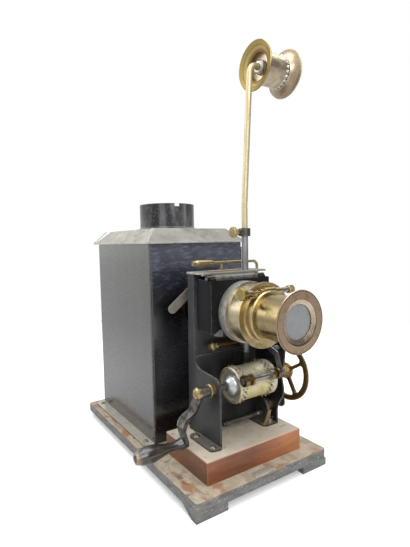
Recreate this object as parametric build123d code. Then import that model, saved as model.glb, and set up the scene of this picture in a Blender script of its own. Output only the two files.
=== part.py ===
from build123d import *
import math
import os

# A hand-turned 35 mm cinematograph with its oil lamp house, in millimetres.
# X runs across the machine with the crank at -X, Y runs from the lens (-Y) to the
# lamp house door (+Y) and Z is up. The origin is on the table, under the board's centre.

# Film and the light path that everything else is set out from
FILM_WIDTH = 35.0
FRAME_WIDTH = 24.0
FRAME_HEIGHT = 18.0
OPTICAL_X = 7.5
OPTICAL_Z = 139.0

# Fits
RUNNING_FIT = 0.05
SLIDING_GAP = 0.3

# Wooden base
BOARD_WIDTH = 136.0
BOARD_DEPTH = 230.0
BOARD_THICKNESS = 8.5
FOOT_HEIGHT = 6.5
FOOT_WIDTH = 28.0
FOOT_DEPTH = 20.0
BOARD_TOP = FOOT_HEIGHT + BOARD_THICKNESS
BOARD_FRONT = -BOARD_DEPTH / 2
BLOCK_WIDTH = 99.0
BLOCK_DEPTH = 64.0
BLOCK_HEIGHT = 18.5
BLOCK_SETBACK = 13.0
BLOCK_FRONT = BOARD_FRONT + BLOCK_SETBACK
BLOCK_TOP = BOARD_TOP + BLOCK_HEIGHT

# Lamp house, lid, chimney and door
TIN = 1.0
HOUSE_WIDTH = 104.0
HOUSE_DEPTH = 130.0
HOUSE_HEIGHT = 183.0
HOUSE_SETBACK = 94.5
HOUSE_FLANGE = 10.0
HOUSE_FRONT = BOARD_FRONT + HOUSE_SETBACK
HOUSE_BACK = HOUSE_FRONT + HOUSE_DEPTH
HOUSE_TOP = BOARD_TOP + HOUSE_HEIGHT
LID_OVERHANG = 4.5
LID_RISE = 14.0
LID_SLOPE = 11.5
LID_SKIRT = 6.0
LID_TOP = HOUSE_TOP + LID_RISE
CHIMNEY_RADIUS = 28.5
CHIMNEY_HEIGHT = 26.0
CHIMNEY_Y = 40.0
DOOR_LAP = 5.0
DOOR_BORDER = 8.0
DOOR_HINGE_RADIUS = 2.2

# Condenser in the house wall
CONDENSER_RADIUS = 22.0
CONDENSER_WALL = 1.0
CONDENSER_LENGTH = 22.0

# Oil lamp
LAMP_Y = 36.0
TRAY_WIDTH = 66.0
TRAY_DEPTH = 84.0
FONT_RADIUS = 30.0
FONT_HEIGHT = 50.0
BURNER_HEIGHT = 44.0
GLASS_RADIUS = 16.0
WICK_WHEEL_Z = BOARD_TOP + 80.0

# Mechanism frame
SHEET = 1.6
LEFT_FACE_X = -29.0
RIGHT_FACE_X = 41.0
LEFT_INNER_X = LEFT_FACE_X + SHEET
RIGHT_INNER_X = RIGHT_FACE_X - SHEET
GATE_Y = BOARD_FRONT + 60.0
SHELF_Z = 171.5
SHELF_THICKNESS = 1.5
SHELF_FRONT = BOARD_FRONT + 46.0
CHEEK_BACK = BOARD_FRONT + 71.0

# Main shaft, crank and drum
MAIN_Y = BOARD_FRONT + 34.0
MAIN_Z = 79.0
MAIN_SHAFT_RADIUS = 2.5
BUSH_RADIUS = 5.5
DRUM_LENGTH = 41.0
DRUM_X = -11.5
DRUM_RADIUS = 15.1
DRUM_RELIEF = 0.7
DRUM_WALL = 1.6
TEETH_PER_ROW = 20
ROW_SPACING = 28.2
TOOTH_HEIGHT = 1.4
CRANK_X = -42.0
CRANK_OUTER_X = -53.0
CRANK_THICKNESS = 2.5
CRANK_WIDTH = 8.6
CRANK_RADIUS = 40.4
CRANK_ELBOW_RADIUS = 29.5
CRANK_PIN_ANGLE = 279.0
CRANK_ELBOW_ANGLE = 303.0
HANDLE_LENGTH = 41.0
HANDLE_RADIUS = 6.8
HANDLE_PIN_RADIUS = 1.6

# Gear pair between the main shaft and the beater
MODULE = 0.5
GEAR_TEETH = 105
PINION_TEETH = 21
GEAR_X = 52.8
GEAR_THICKNESS = 2.4
GEAR_SPOKES = 4
GEAR_RIM = 3.6
BEATER_Y = BOARD_FRONT + 42.0
CENTRE_DISTANCE = MODULE * (GEAR_TEETH + PINION_TEETH) / 2
BEATER_Z = MAIN_Z - math.sqrt(CENTRE_DISTANCE ** 2 - (BEATER_Y - MAIN_Y) ** 2)
BEATER_SHAFT_RADIUS = 2.0
BEATER_DISC_RADIUS = 9.0
BEATER_THROW = 5.5
BEATER_ROLLER_RADIUS = 2.6

# Film guide roller on its sprung arm
ROLLER_Y = BOARD_FRONT + 15.75
ROLLER_Z = 87.2
ROLLER_RADIUS = 4.6
ROLLER_SPINDLE = 1.2
ARM_PIVOT_Y = BOARD_FRONT + 28.0
ARM_PIVOT_Z = 104.5
ARM_PIVOT_RADIUS = 1.3
ARM_X = 28.6

# Lens box, hinged under the shelf
BOX_LEFT_X = -25.6
BOX_RIGHT_X = 37.4
BOX_FRONT = BOARD_FRONT + 38.4
BOX_BOTTOM = 123.5
BOX_TOP = 167.0
BOX_DEPTH = 20.1
GATE_HINGE_Y = BOARD_FRONT + 41.5
GATE_HINGE_Z = 168.5
GATE_HINGE_RADIUS = 2.2
GATE_PIN_RADIUS = 1.1

# Lens
BARREL_RADIUS = 18.0
BARREL_WALL = 1.2
BARREL_FRONT = BOARD_FRONT - 26.0
BARREL_LENGTH = 56.0
LENS_FLANGE_RADIUS = 23.9
LENS_CLEAR_RADIUS = 13.3
RING_RADIUS = 26.0
COLLAR_FLANGE_RADIUS = 26.8
COLLAR_BACK = BOARD_FRONT + 12.0
COLLAR_FRONT = BOARD_FRONT + 3.0
FOCUS_Y = BOARD_FRONT + 8.0
FOCUS_MODULE = 0.5
FOCUS_TEETH = 8
RACK_HALF_WIDTH = 1.8
RACK_TIP = 17.9
FOCUS_SHAFT_RADIUS = 1.2
RACK_PITCH_LINE = RACK_TIP - FOCUS_MODULE
FOCUS_Z = OPTICAL_Z + RACK_PITCH_LINE + FOCUS_MODULE * FOCUS_TEETH / 2

# Film guides above and below
TUBE_X = 21.5
TUBE_Y = BOARD_FRONT + 52.0
TUBE_RADIUS = 2.9
TUBE_BORE = 2.05
TUBE_BOTTOM = 87.5
TUBE_TOP = 207.0
FRAMING_Z = 109.0
FRAMING_SCREW_RADIUS = 1.3
SPRING_RADIUS = 2.2
SPRING_WIRE = 0.4
SPRING_PITCH = 2.2
SPRING_TURNS = 10
ARM_SPRING_PITCH = 1.3
ARM_SPRING_TURNS = 4

# Reel on its tall arm
ARM_ROD_RADIUS = 2.0
ARM_ROD_BOTTOM = 150.0
REEL_Y = BOARD_FRONT + 50.0
REEL_Z = 351.5
REEL_LEFT_X = 32.4
REEL_RIGHT_X = 70.0
REEL_RADIUS = 21.4
REEL_CORE = 14.0


# Shapes that several pieces share

def block(x0, x1, y0, y1, z0, z1):
    """Rectangular solid between six faces."""
    middle = Pos((x0 + x1) / 2, (y0 + y1) / 2, (z0 + z1) / 2)
    return middle * Box(x1 - x0, y1 - y0, z1 - z0)


def turning(axis):
    """Rotation that carries the +X direction onto the named axis."""
    return {"X": Rot(0, 0, 0), "Y": Rot(0, 0, 90), "Z": Rot(0, -90, 0)}[axis]


def turned(profile, axis, at):
    """Solid of revolution from points of (distance along the axis, radius)."""
    face = make_face(Polyline(*profile, close=True))
    return Pos(*at) * turning(axis) * revolve(face, Axis.X)


def turned_lines(lines, axis, at):
    """Solid of revolution from a closed run of edges in the (distance, radius) plane."""
    return Pos(*at) * turning(axis) * revolve(make_face(lines), Axis.X)


def rod(axis, start, end, at, radius, bore=0.0):
    """Round bar, or a tube when it has a bore, along an axis through a point."""
    return turned([(start, bore), (start, radius), (end, radius), (end, bore)], axis, at)


def plate_x(face, x0, x1):
    """Plate cut to an outline drawn in Y and Z."""
    return extrude(Plane.YZ.offset(x0) * face, amount=x1 - x0)


def plate_y(face, y0, y1):
    """Plate cut to an outline drawn in X and Z."""
    return extrude(Plane.XZ.offset(-y1) * face, amount=y1 - y0)


def plate_z(face, z0, z1):
    """Plate cut to an outline drawn in X and Y."""
    return extrude(Plane.XY.offset(z0) * face, amount=z1 - z0)


def outline(points, radii):
    """Closed outline with each corner rounded to its own radius."""
    return make_face(FilletPolyline(*points, radius=radii, close=True))


def round_head_screw(radius, height, shank_radius, shank_length):
    """Slotted round-head screw, head up, with the underside of its head at the origin."""
    curve = (radius ** 2 + height ** 2) / (2 * height)
    head = Pos(0, 0, height - curve) * Sphere(curve)
    head &= block(-radius, radius, -radius, radius, 0, height)
    head -= block(-radius, radius, -radius / 8, radius / 8, height * 0.55, height)
    return head + rod("Z", -shank_length, 0, (0, 0, 0), shank_radius)


def gear_outline(teeth, module, tooth_share, phase):
    """Toothed wheel outline; phase is the angle in degrees of one tooth's middle."""
    pitch_radius = teeth * module / 2
    tip = pitch_radius + module
    root = pitch_radius - 1.3 * module
    pitch_angle = 360 / teeth
    points = []
    for tooth in range(teeth):
        middle = phase + tooth * pitch_angle
        for radius, share in ((root, -1.7), (tip, -0.55), (tip, 0.55), (root, 1.7)):
            angle = math.radians(middle + share * tooth_share * pitch_angle / 2)
            points.append((radius * math.cos(angle), radius * math.sin(angle)))
    return make_face(Polyline(*points, close=True))


def bent_rod(points, radii, radius):
    """Round wire or rod along straight runs joined by arcs."""
    path = FilletPolyline(*points, radius=radii)
    return sweep(Plane(path @ 0, z_dir=path % 0) * Circle(radius), path=path)


def coil_path(radius, wire, pitch, turns, ends):
    """Path of a wound wire along +X, with straight tails of the given length."""
    quarter_turns = turns * 4
    lead = math.atan(pitch / (8 * radius))

    def on_helix(step):
        angle = math.radians(90 * step)
        return Vector(pitch * step / 4, radius * math.cos(angle), radius * math.sin(angle))

    heading = Vector(math.sin(lead), 0, math.cos(lead))
    edges = []
    for step in range(quarter_turns):
        edges.append(TangentArc(on_helix(step), on_helix(step + 1), tangent=heading))
        heading = edges[-1] % 1
    for side, edge_end, along in ((-1, 0, -1), (1, 1, 1)):
        edge = edges[0] if side < 0 else edges[-1]
        point = edge @ edge_end
        leaving = (edge % edge_end) * along
        axial = Vector(side, 0, 0)
        reach = (leaving + axial).normalized() * (4 * wire)
        bend = TangentArc(point, point + reach, tangent=leaving)
        tail = Line(bend @ 1, (bend @ 1) + axial * ends)
        edges = edges + [bend, tail] if side > 0 else [bend, tail] + edges
    return Wire(edges)


def least_gap(path, radius, wire):
    """Least gap of a wound wire to itself, measured between points half a turn or more apart."""
    places = round(4 * path.length / radius)
    points = [tuple(path @ (place / places)) for place in range(places + 1)]
    half_turn = round(places * math.pi * radius / path.length)
    centres = (math.dist(a, b) for i, a in enumerate(points) for b in points[i + half_turn:])
    return min(centres) - 2 * wire


def coil(name, radius, wire, pitch, turns):
    """Wound spring along +X as one tube; prints its least gap to itself."""
    path = coil_path(radius, wire, pitch, turns, 2 * wire)
    print(name, "least gap to itself", round(least_gap(path, radius, wire), 2), "mm")
    return sweep(Plane(path @ 0, z_dir=path % 0) * Circle(wire), path=path)


def lens_glass(flat_y, radius, edge, rise, facing):
    """Plano-convex lens on the optical axis, bulging towards +Y (1) or -Y (-1)."""
    sphere = (radius ** 2 + rise ** 2) / (2 * rise)
    half = radius / 2
    middle = edge + rise - sphere + math.sqrt(sphere ** 2 - half ** 2)
    lines = [
        Line((0, 0), (0, radius)),
        Line((0, radius), (facing * edge, radius)),
        ThreePointArc((facing * edge, radius), (facing * middle, half), (facing * (edge + rise), 0)),
        Line((facing * (edge + rise), 0), (0, 0)),
    ]
    return turned_lines(lines, "Y", (OPTICAL_X, flat_y, OPTICAL_Z))


# Wooden base

WOOD_SCREW_RADIUS = 2.6
WOOD_SCREW_SHANK = 1.3
WOOD_SCREW_LENGTH = 7.5
HOUSE_SCREW_X = HOUSE_WIDTH / 2 + HOUSE_FLANGE / 2
HOUSE_SCREW_YS = (HOUSE_FRONT + 9.0, HOUSE_BACK - 9.0)


def house_screw_places():
    """Centres of the four screws that hold the lamp house down."""
    return [(side * HOUSE_SCREW_X, y) for side in (-1, 1) for y in HOUSE_SCREW_YS]


def base_board():
    """Flat board with softened corners and the pilot holes of the house screws."""
    half = BOARD_WIDTH / 2
    board = block(-half, half, BOARD_FRONT, -BOARD_FRONT, FOOT_HEIGHT, BOARD_TOP)
    board = fillet(board.edges().filter_by(Axis.Z), 2.5)
    board = fillet(board.faces().sort_by(Axis.Z)[-1].edges(), 0.8)
    for x, y in house_screw_places():
        board -= rod("Z", BOARD_TOP - WOOD_SCREW_LENGTH, BOARD_TOP, (x, y, 0), WOOD_SCREW_SHANK)
    return board


def front_feet():
    """Two wedge feet, flush with the front of the board and cut back underneath."""
    side = outline(
        [
            (BOARD_FRONT, FOOT_HEIGHT),
            (BOARD_FRONT + FOOT_DEPTH, FOOT_HEIGHT),
            (BOARD_FRONT + FOOT_DEPTH * 0.33, 0),
            (BOARD_FRONT, 0),
        ],
        [0, 0, 1.5, 0.8],
    )
    outer = BOARD_WIDTH / 2
    left = plate_x(side, -outer, -outer + FOOT_WIDTH)
    right = plate_x(side, outer - FOOT_WIDTH, outer)
    return Compound([left, right])


def rear_feet():
    """Two plain feet under the back of the board, set in from its sides."""
    outer = BOARD_WIDTH / 2 - FOOT_WIDTH / 2
    front = -BOARD_FRONT - 30.0
    feet = []
    for side in (-1, 1):
        foot = Box(FOOT_WIDTH, FOOT_DEPTH * 0.9, FOOT_HEIGHT)
        foot = chamfer(foot.faces().sort_by(Axis.Z)[0].edges(), 0.6)
        x = side * (outer - FOOT_WIDTH / 2)
        feet.append(Pos(x, front + FOOT_DEPTH * 0.45, FOOT_HEIGHT / 2) * foot)
    return Compound(feet)


def mechanism_block():
    """Hardwood block that carries the mechanism, with a saw slot at the right cheek."""
    half = BLOCK_WIDTH / 2
    wood = block(-half, half, BLOCK_FRONT, BLOCK_FRONT + BLOCK_DEPTH, BOARD_TOP, BLOCK_TOP)
    wood = fillet(wood.edges().filter_by(Axis.Z), 0.8)
    wood = chamfer(wood.faces().sort_by(Axis.Z)[-1].edges(), 0.5)
    slot_y = BOARD_FRONT + 24.7
    wood -= block(RIGHT_FACE_X - 4.3, RIGHT_FACE_X + 3.4, slot_y, slot_y + 1.0, BLOCK_TOP - 3, BLOCK_TOP)
    for x, y in cheek_screw_places():
        wood -= rod("Z", BLOCK_TOP - WOOD_SCREW_LENGTH, BLOCK_TOP, (x, y, 0), WOOD_SCREW_SHANK)
    wood -= rod("Z", BLOCK_TOP - WOOD_SCREW_LENGTH, BLOCK_TOP, (*wing_stud_place(), 0), WING_STUD_RADIUS)
    return wood


# Lamp house

def lamphouse_body():
    """Folded sheet box, open below and above, with side flanges and a door frame."""
    half = HOUSE_WIDTH / 2
    shell = block(-half, half, HOUSE_FRONT, HOUSE_BACK, BOARD_TOP, HOUSE_TOP)
    shell = fillet(shell.edges().filter_by(Axis.Z), 2.2)
    inside = block(-half + TIN, half - TIN, HOUSE_FRONT + TIN, HOUSE_BACK - TIN, BOARD_TOP, HOUSE_TOP)
    shell -= fillet(inside.edges().filter_by(Axis.Z), 1.2)
    for side in (-1, 1):
        flange = block(half - TIN, half + HOUSE_FLANGE, HOUSE_FRONT, HOUSE_BACK, BOARD_TOP, BOARD_TOP + TIN)
        corner = flange.edges().filter_by(Axis.Z).sort_by(Axis.X)[-2:]
        flange = fillet(corner, 5.0)
        shell += flange if side > 0 else mirror(flange, about=Plane.YZ)
    shell -= rod("Y", HOUSE_FRONT - 1, HOUSE_FRONT + TIN + 1, (OPTICAL_X, 0, OPTICAL_Z), CONDENSER_RADIUS)
    shell -= block(
        -half + DOOR_BORDER,
        half - DOOR_BORDER,
        HOUSE_BACK - 2 * TIN,
        HOUSE_BACK + 1,
        BOARD_TOP + DOOR_BORDER,
        HOUSE_TOP - 2 * DOOR_BORDER,
    )
    for x, y in house_screw_places():
        shell -= rod("Z", BOARD_TOP, BOARD_TOP + TIN, (x, y, 0), WOOD_SCREW_SHANK)
    return shell


def condenser_cell():
    """Brass tube through the house wall with a flange that seats on the wall."""
    start = HOUSE_FRONT - 10.5
    inner = CONDENSER_RADIUS - CONDENSER_WALL
    lip = inner - 1.0
    profile = [
        (start, lip),
        (start, CONDENSER_RADIUS + 0.8),
        (start + 1.6, CONDENSER_RADIUS + 0.8),
        (start + 1.6, CONDENSER_RADIUS),
        (HOUSE_FRONT - 1.2, CONDENSER_RADIUS),
        (HOUSE_FRONT - 1.2, CONDENSER_RADIUS + 4.0),
        (HOUSE_FRONT, CONDENSER_RADIUS + 4.0),
        (HOUSE_FRONT, CONDENSER_RADIUS),
        (start + CONDENSER_LENGTH, CONDENSER_RADIUS),
        (start + CONDENSER_LENGTH, inner),
        (start + 1.2, inner),
        (start + 1.2, lip),
    ]
    return turned(profile, "Y", (OPTICAL_X, 0, OPTICAL_Z))


def condenser_lenses():
    """Two plano-convex lenses in the cell, bulging towards each other."""
    start = HOUSE_FRONT - 10.5 + 1.2
    radius = CONDENSER_RADIUS - CONDENSER_WALL
    front = lens_glass(start, radius, 1.5, 7.0, 1)
    back = lens_glass(start + CONDENSER_LENGTH - 2.4, radius, 1.5, 7.0, -1)
    return Compound([front, back])


# Door of the lamp house

def door_hinge_line():
    """X and Y of the door's hinge pin, just behind the house's back wall."""
    return HOUSE_WIDTH / 2 - 3.0, HOUSE_BACK + DOOR_HINGE_RADIUS + 0.2


def knuckle_spans(bottom, top, count):
    """Equal lengths of a hinge's knuckles, with a gap between neighbours."""
    length = (top - bottom) / count
    gap = SLIDING_GAP / 2
    return [(bottom + length * k + gap, bottom + length * (k + 1) - gap) for k in range(count)]


DOOR_BOTTOM = BOARD_TOP + DOOR_BORDER - DOOR_LAP
DOOR_TOP = HOUSE_TOP - 2 * DOOR_BORDER + DOOR_LAP
DOOR_PIN_RADIUS = 1.0


def door_hinge():
    """Fixed knuckles of the door hinge on their leaf, with the pin through them all."""
    x, y = door_hinge_line()
    pin = rod("Z", DOOR_BOTTOM - 1, DOOR_TOP + 1, (x, y, 0), DOOR_PIN_RADIUS)
    hinge = pin
    for low, high in knuckle_spans(DOOR_BOTTOM, DOOR_TOP, 5)[::2]:
        hinge += rod("Z", low, high, (x, y, 0), DOOR_HINGE_RADIUS)
        hinge += block(x, HOUSE_WIDTH / 2 - 0.4, HOUSE_BACK, HOUSE_BACK + 1.0, low, high)
    return hinge


def rear_door():
    """Sheet door that laps over its opening, with air holes low down and its knuckles."""
    x, y = door_hinge_line()
    left = -HOUSE_WIDTH / 2 + DOOR_BORDER - DOOR_LAP
    right = x - DOOR_HINGE_RADIUS - SLIDING_GAP
    door = block(left, right, HOUSE_BACK, HOUSE_BACK + TIN, DOOR_BOTTOM, DOOR_TOP)
    door = fillet(door.edges().filter_by(Axis.Y).sort_by(Axis.X)[:2], 3.0)
    for low, high in knuckle_spans(DOOR_BOTTOM, DOOR_TOP, 5)[1::2]:
        knuckle = rod("Z", low, high, (x, y, 0), DOOR_HINGE_RADIUS)
        leaf = block(right - 1, x, HOUSE_BACK + 0.2, HOUSE_BACK + 0.2 + TIN, low, high)
        knuckle += leaf
        door += knuckle - rod("Z", low, high, (x, y, 0), DOOR_PIN_RADIUS + RUNNING_FIT)
    for hole in range(5):
        door -= rod("Y", HOUSE_BACK - 1, HOUSE_BACK + 2, (-28 + 14 * hole, 0, BOARD_TOP + 22), 3.0)
    return door


def door_knob():
    """Small turned knob riveted through the free side of the door."""
    x = -HOUSE_WIDTH / 2 + DOOR_BORDER + 3
    profile = [(0, 0), (0, 3.2), (1.5, 2.6), (6, 2.4), (8.5, 6.0), (11.5, 6.2), (13.5, 4.6), (14, 0)]
    return turned(profile, "Y", (x, HOUSE_BACK + TIN, BOARD_TOP + 92))


# Lid and chimney

def hipped_solid(inset, low, high):
    """Solid under the four slopes of the lid, drawn in by an inset on every side."""
    middle_y = (HOUSE_FRONT + HOUSE_BACK) / 2
    width = HOUSE_WIDTH + 2 * LID_OVERHANG - 4 - 2 * inset
    depth = HOUSE_DEPTH + 2 * LID_OVERHANG - 4 - 2 * inset
    shrink = 2 * (LID_SLOPE + LID_OVERHANG - 2)
    lower = Pos(0, middle_y, low) * Rectangle(width, depth)
    upper = Pos(0, middle_y, high) * Rectangle(width - shrink, depth - shrink)
    return loft([lower, upper], ruled=True)


def lid():
    """Hipped sheet lid with a flat rim, a flat top round the chimney and an inner skirt."""
    half_width = HOUSE_WIDTH / 2 + LID_OVERHANG
    front = HOUSE_FRONT - LID_OVERHANG
    back = HOUSE_BACK + LID_OVERHANG
    rim_top = HOUSE_TOP + 1.2
    rim = block(-half_width, half_width, front, back, HOUSE_TOP, rim_top)
    rim = fillet(rim.edges().filter_by(Axis.Z), 3.0)
    cover = rim + hipped_solid(0, rim_top, LID_TOP)
    cover -= hipped_solid(1.4, rim_top - 1.2, LID_TOP - TIN)
    skirt_half = HOUSE_WIDTH / 2 - TIN - 0.5
    skirt_front = HOUSE_FRONT + TIN + 0.5
    skirt_back = HOUSE_BACK - TIN - 0.5
    low = HOUSE_TOP - LID_SKIRT
    skirt = block(-skirt_half, skirt_half, skirt_front, skirt_back, low, rim_top)
    skirt -= block(-skirt_half + TIN, skirt_half - TIN, skirt_front + TIN, skirt_back - TIN, low, rim_top)
    ledge = block(-half_width + 3, half_width - 3, front + 3, back - 3, HOUSE_TOP, HOUSE_TOP + TIN)
    ledge -= block(-skirt_half + TIN, skirt_half - TIN, skirt_front + TIN, skirt_back - TIN, low, rim_top)
    cover += skirt + ledge
    return cover - rod("Z", LID_TOP - 3, LID_TOP + 1, (0, CHIMNEY_Y, 0), CHIMNEY_RADIUS - TIN)


def chimney():
    """Short open stub on the lid, with a bead at its foot and a nick in its rim."""
    inner = CHIMNEY_RADIUS - TIN
    top = LID_TOP + CHIMNEY_HEIGHT
    profile = [
        (LID_TOP, inner),
        (LID_TOP, CHIMNEY_RADIUS + 2.2),
        (LID_TOP + 0.9, CHIMNEY_RADIUS + 2.2),
        (LID_TOP + 1.6, CHIMNEY_RADIUS + 1.0),
        (LID_TOP + 2.6, CHIMNEY_RADIUS),
        (top, CHIMNEY_RADIUS),
        (top, inner),
    ]
    stub = turned(profile, "Z", (0, CHIMNEY_Y, 0))
    nick = block(-2.6, 2.6, -CHIMNEY_RADIUS - 1, -CHIMNEY_RADIUS + 3, top - 3.0, top + 1)
    hole = rod("Y", -CHIMNEY_RADIUS - 1, -CHIMNEY_RADIUS + 3, (0, 0, top - 6.5), 0.8)
    return stub - Pos(-0.5, CHIMNEY_Y, 0) * Rot(0, 0, -7) * (nick + hole)


# Oil lamp on its tray

def oil_font():
    """Round oil tank with a domed shoulder and a filler boss, soldered in its shallow tray."""
    left = OPTICAL_X - TRAY_WIDTH / 2
    right = OPTICAL_X + TRAY_WIDTH / 2
    front = LAMP_Y - TRAY_DEPTH / 2
    back = LAMP_Y + TRAY_DEPTH / 2
    tray = block(left, right, front, back, BOARD_TOP, BOARD_TOP + 6)
    tray = fillet(tray.edges().filter_by(Axis.Z), 4.0)
    tray -= block(left + TIN, right - TIN, front + TIN, back - TIN, BOARD_TOP + TIN, BOARD_TOP + 6)
    base = BOARD_TOP + TIN
    top = base + FONT_HEIGHT
    profile = [
        (base, 0),
        (base, FONT_RADIUS),
        (top - 8, FONT_RADIUS),
        (top - 2.5, FONT_RADIUS - 6),
        (top, 11.0),
        (top, 0),
    ]
    tank = turned(profile, "Z", (OPTICAL_X, LAMP_Y, 0))
    filler = rod("Z", top - 4, top + 3, (OPTICAL_X - 20, LAMP_Y, 0), 4.5)
    return tray + tank + filler


def burner():
    """Wick burner: threaded collar, pierced gallery and a dome with its flame slit."""
    base = BOARD_TOP + TIN + FONT_HEIGHT
    top = base + BURNER_HEIGHT
    profile = [
        (base, 0),
        (base, 10.0),
        (base + 8, 10.0),
        (base + 12, 7.0),
        (top - 18, 7.0),
        (top - 12, GLASS_RADIUS - 1),
        (top - 11, GLASS_RADIUS + 1.5),
        (top - 9.5, GLASS_RADIUS + 1.5),
        (top - 9.5, 11.0),
        (top - 4, 8.5),
        (top, 3.5),
        (top, 0),
    ]
    metal = turned(profile, "Z", (OPTICAL_X, LAMP_Y, 0))
    metal -= block(OPTICAL_X - 7, OPTICAL_X + 7, LAMP_Y - 1.2, LAMP_Y + 1.2, top - 8, top + 1)
    axle = WICK_WHEEL_RADIUS + RUNNING_FIT
    return metal - rod("Y", LAMP_Y, LAMP_Y + 20, (OPTICAL_X, 0, WICK_WHEEL_Z), axle)


WICK_WHEEL_RADIUS = 1.0


def lamp_glass():
    """Glass chimney of the lamp, bulged round the flame and open above."""
    seat = BOARD_TOP + TIN + FONT_HEIGHT + BURNER_HEIGHT - 9.5
    wall = 1.2
    heights = (0, 8, 18, 30, 44, 76)
    radii = (13.2, 13.2, GLASS_RADIUS, 13.0, 10.8, 10.4)
    outer = [(seat + h, r) for h, r in zip(heights, radii)]
    inner = [(seat + h, r - wall) for h, r in zip(heights, radii)]
    return turned(outer + inner[::-1], "Z", (OPTICAL_X, LAMP_Y, 0))


def reflector():
    """Dished reflector behind the flame on an upright strip from the tray."""
    back = LAMP_Y + 33.0
    radius = 24.0
    centre_z = OPTICAL_Z
    depth = 6.0
    sphere = (radius ** 2 + depth ** 2) / (2 * depth)
    half = radius / 2
    sag = sphere - math.sqrt(sphere ** 2 - half ** 2)
    lines = [
        ThreePointArc((0, 0), (-sag, half), (-depth, radius)),
        Line((-depth, radius), (-depth + 0.8, radius + 0.4)),
        ThreePointArc((-depth + 0.8, radius + 0.4), (0.8 - sag, half + 0.2), (0.8, 0)),
        Line((0.8, 0), (0, 0)),
    ]
    dish = turned_lines(lines, "Y", (OPTICAL_X, back, centre_z))
    strip = block(OPTICAL_X - 5, OPTICAL_X + 5, back + 0.4, back + 1.6, BOARD_TOP + TIN, centre_z + 3)
    strip -= rod("Y", back - 2, back + 3, (OPTICAL_X, 0, WICK_WHEEL_Z), WICK_WHEEL_RADIUS + 1.0)
    return dish + strip


def wick_wheel():
    """Spindle and milled wheel that raise and lower the wick."""
    start = LAMP_Y + 1.0
    wheel = start + 44.0
    profile = [
        (start, 0),
        (start, WICK_WHEEL_RADIUS),
        (wheel, WICK_WHEEL_RADIUS),
        (wheel, 7.0),
        (wheel + 2.4, 7.0),
        (wheel + 2.4, 0),
    ]
    return turned(profile, "Y", (OPTICAL_X, 0, WICK_WHEEL_Z))


# Mechanism frame

FOOT_FLANGE = 9.7
FOOT_FLANGE_THICKNESS = 1.5
WING_STUD_RADIUS = 1.5


def cheek_screw_places():
    """Centres of the screws through the left cheek's foot."""
    x = LEFT_FACE_X - 5.0
    return [(x, BOARD_FRONT + 27.3), (x, BOARD_FRONT + 51.0)]


def wing_stud_place():
    """Centre of the stud through the right cheek's foot."""
    return RIGHT_INNER_X - 5.2, BOARD_FRONT + 36.0


def cheek_holes(side_x, main_bush_radius):
    """Bore for the main shaft's bush in a cheek."""
    return rod("X", side_x - 5, side_x + 5, (0, MAIN_Y, MAIN_Z), main_bush_radius)


def left_cheek():
    """Sheet cheek on the crank side with a rounded shoulder and a foot turned outward."""
    front = BOARD_FRONT
    face = outline(
        [
            (front + 24, BLOCK_TOP),
            (front + 24, 88.7),
            (front + 59.5, 91.6),
            (front + 59.5, SHELF_Z),
            (CHEEK_BACK - 2.6, SHELF_Z),
            (CHEEK_BACK, BLOCK_TOP),
        ],
        [0, 8.0, 8.0, 0, 0, 0],
    )
    cheek = plate_x(face, LEFT_FACE_X, LEFT_INNER_X)
    foot = block(
        LEFT_FACE_X - FOOT_FLANGE,
        LEFT_FACE_X + 0.2,
        front + 22.5,
        front + 58,
        BLOCK_TOP,
        BLOCK_TOP + FOOT_FLANGE_THICKNESS,
    )
    foot = fillet(foot.edges().filter_by(Axis.Z).sort_by(Axis.X)[:2], 4.5)
    cheek += foot
    cheek -= cheek_holes(LEFT_FACE_X, BUSH_RADIUS - 1.5)
    for x, y in cheek_screw_places():
        cheek -= rod("Z", BLOCK_TOP, BLOCK_TOP + FOOT_FLANGE_THICKNESS, (x, y, 0), WOOD_SCREW_SHANK)
    return cheek


def right_cheek():
    """Sheet cheek on the gear side with a waisted front edge and a foot turned inward."""
    front = BOARD_FRONT
    edge = Spline(
        (front + 31.7, 44.0),
        (front + 23.6, 63.5),
        (front + 25.8, 80.0),
        (front + 22.2, 96.0),
        tangents=[(0, 1), (-0.15, 1)],
    )
    top = FilletPolyline(
        (front + 22.2, 96.0),
        (front + 20.8, 111.0),
        (front + 59.5, 113.5),
        (front + 59.5, SHELF_Z),
        (CHEEK_BACK - 2.6, SHELF_Z),
        (CHEEK_BACK, BLOCK_TOP),
        (front + 31.7, BLOCK_TOP),
        (front + 31.7, 44.0),
        radius=[6.5, 8.0, 0, 0, 0, 0],
    )
    cheek = plate_x(make_face([edge, top]), RIGHT_INNER_X, RIGHT_FACE_X)
    foot_left = RIGHT_INNER_X - 14.4
    foot = block(foot_left, RIGHT_INNER_X + 0.2, front + 31.7, front + 58, BLOCK_TOP, BLOCK_TOP + FOOT_FLANGE_THICKNESS)
    foot = fillet(foot.edges().filter_by(Axis.Z).sort_by(Axis.X)[:2], 4.5)
    cheek += foot
    cheek -= cheek_holes(RIGHT_FACE_X, BUSH_RADIUS - 1.5)
    cheek -= rod("X", RIGHT_INNER_X - 1, RIGHT_FACE_X + 1, (0, BEATER_Y, BEATER_Z), BEATER_BUSH_RADIUS)
    pivot_hole = ARM_PIVOT_RADIUS + RUNNING_FIT
    cheek -= rod("X", RIGHT_INNER_X - 1, RIGHT_FACE_X + 1, (0, ARM_PIVOT_Y, ARM_PIVOT_Z), pivot_hole)
    return cheek - rod("Z", BLOCK_TOP, BLOCK_TOP + FOOT_FLANGE_THICKNESS, (*wing_stud_place(), 0), WING_STUD_RADIUS)


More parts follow.
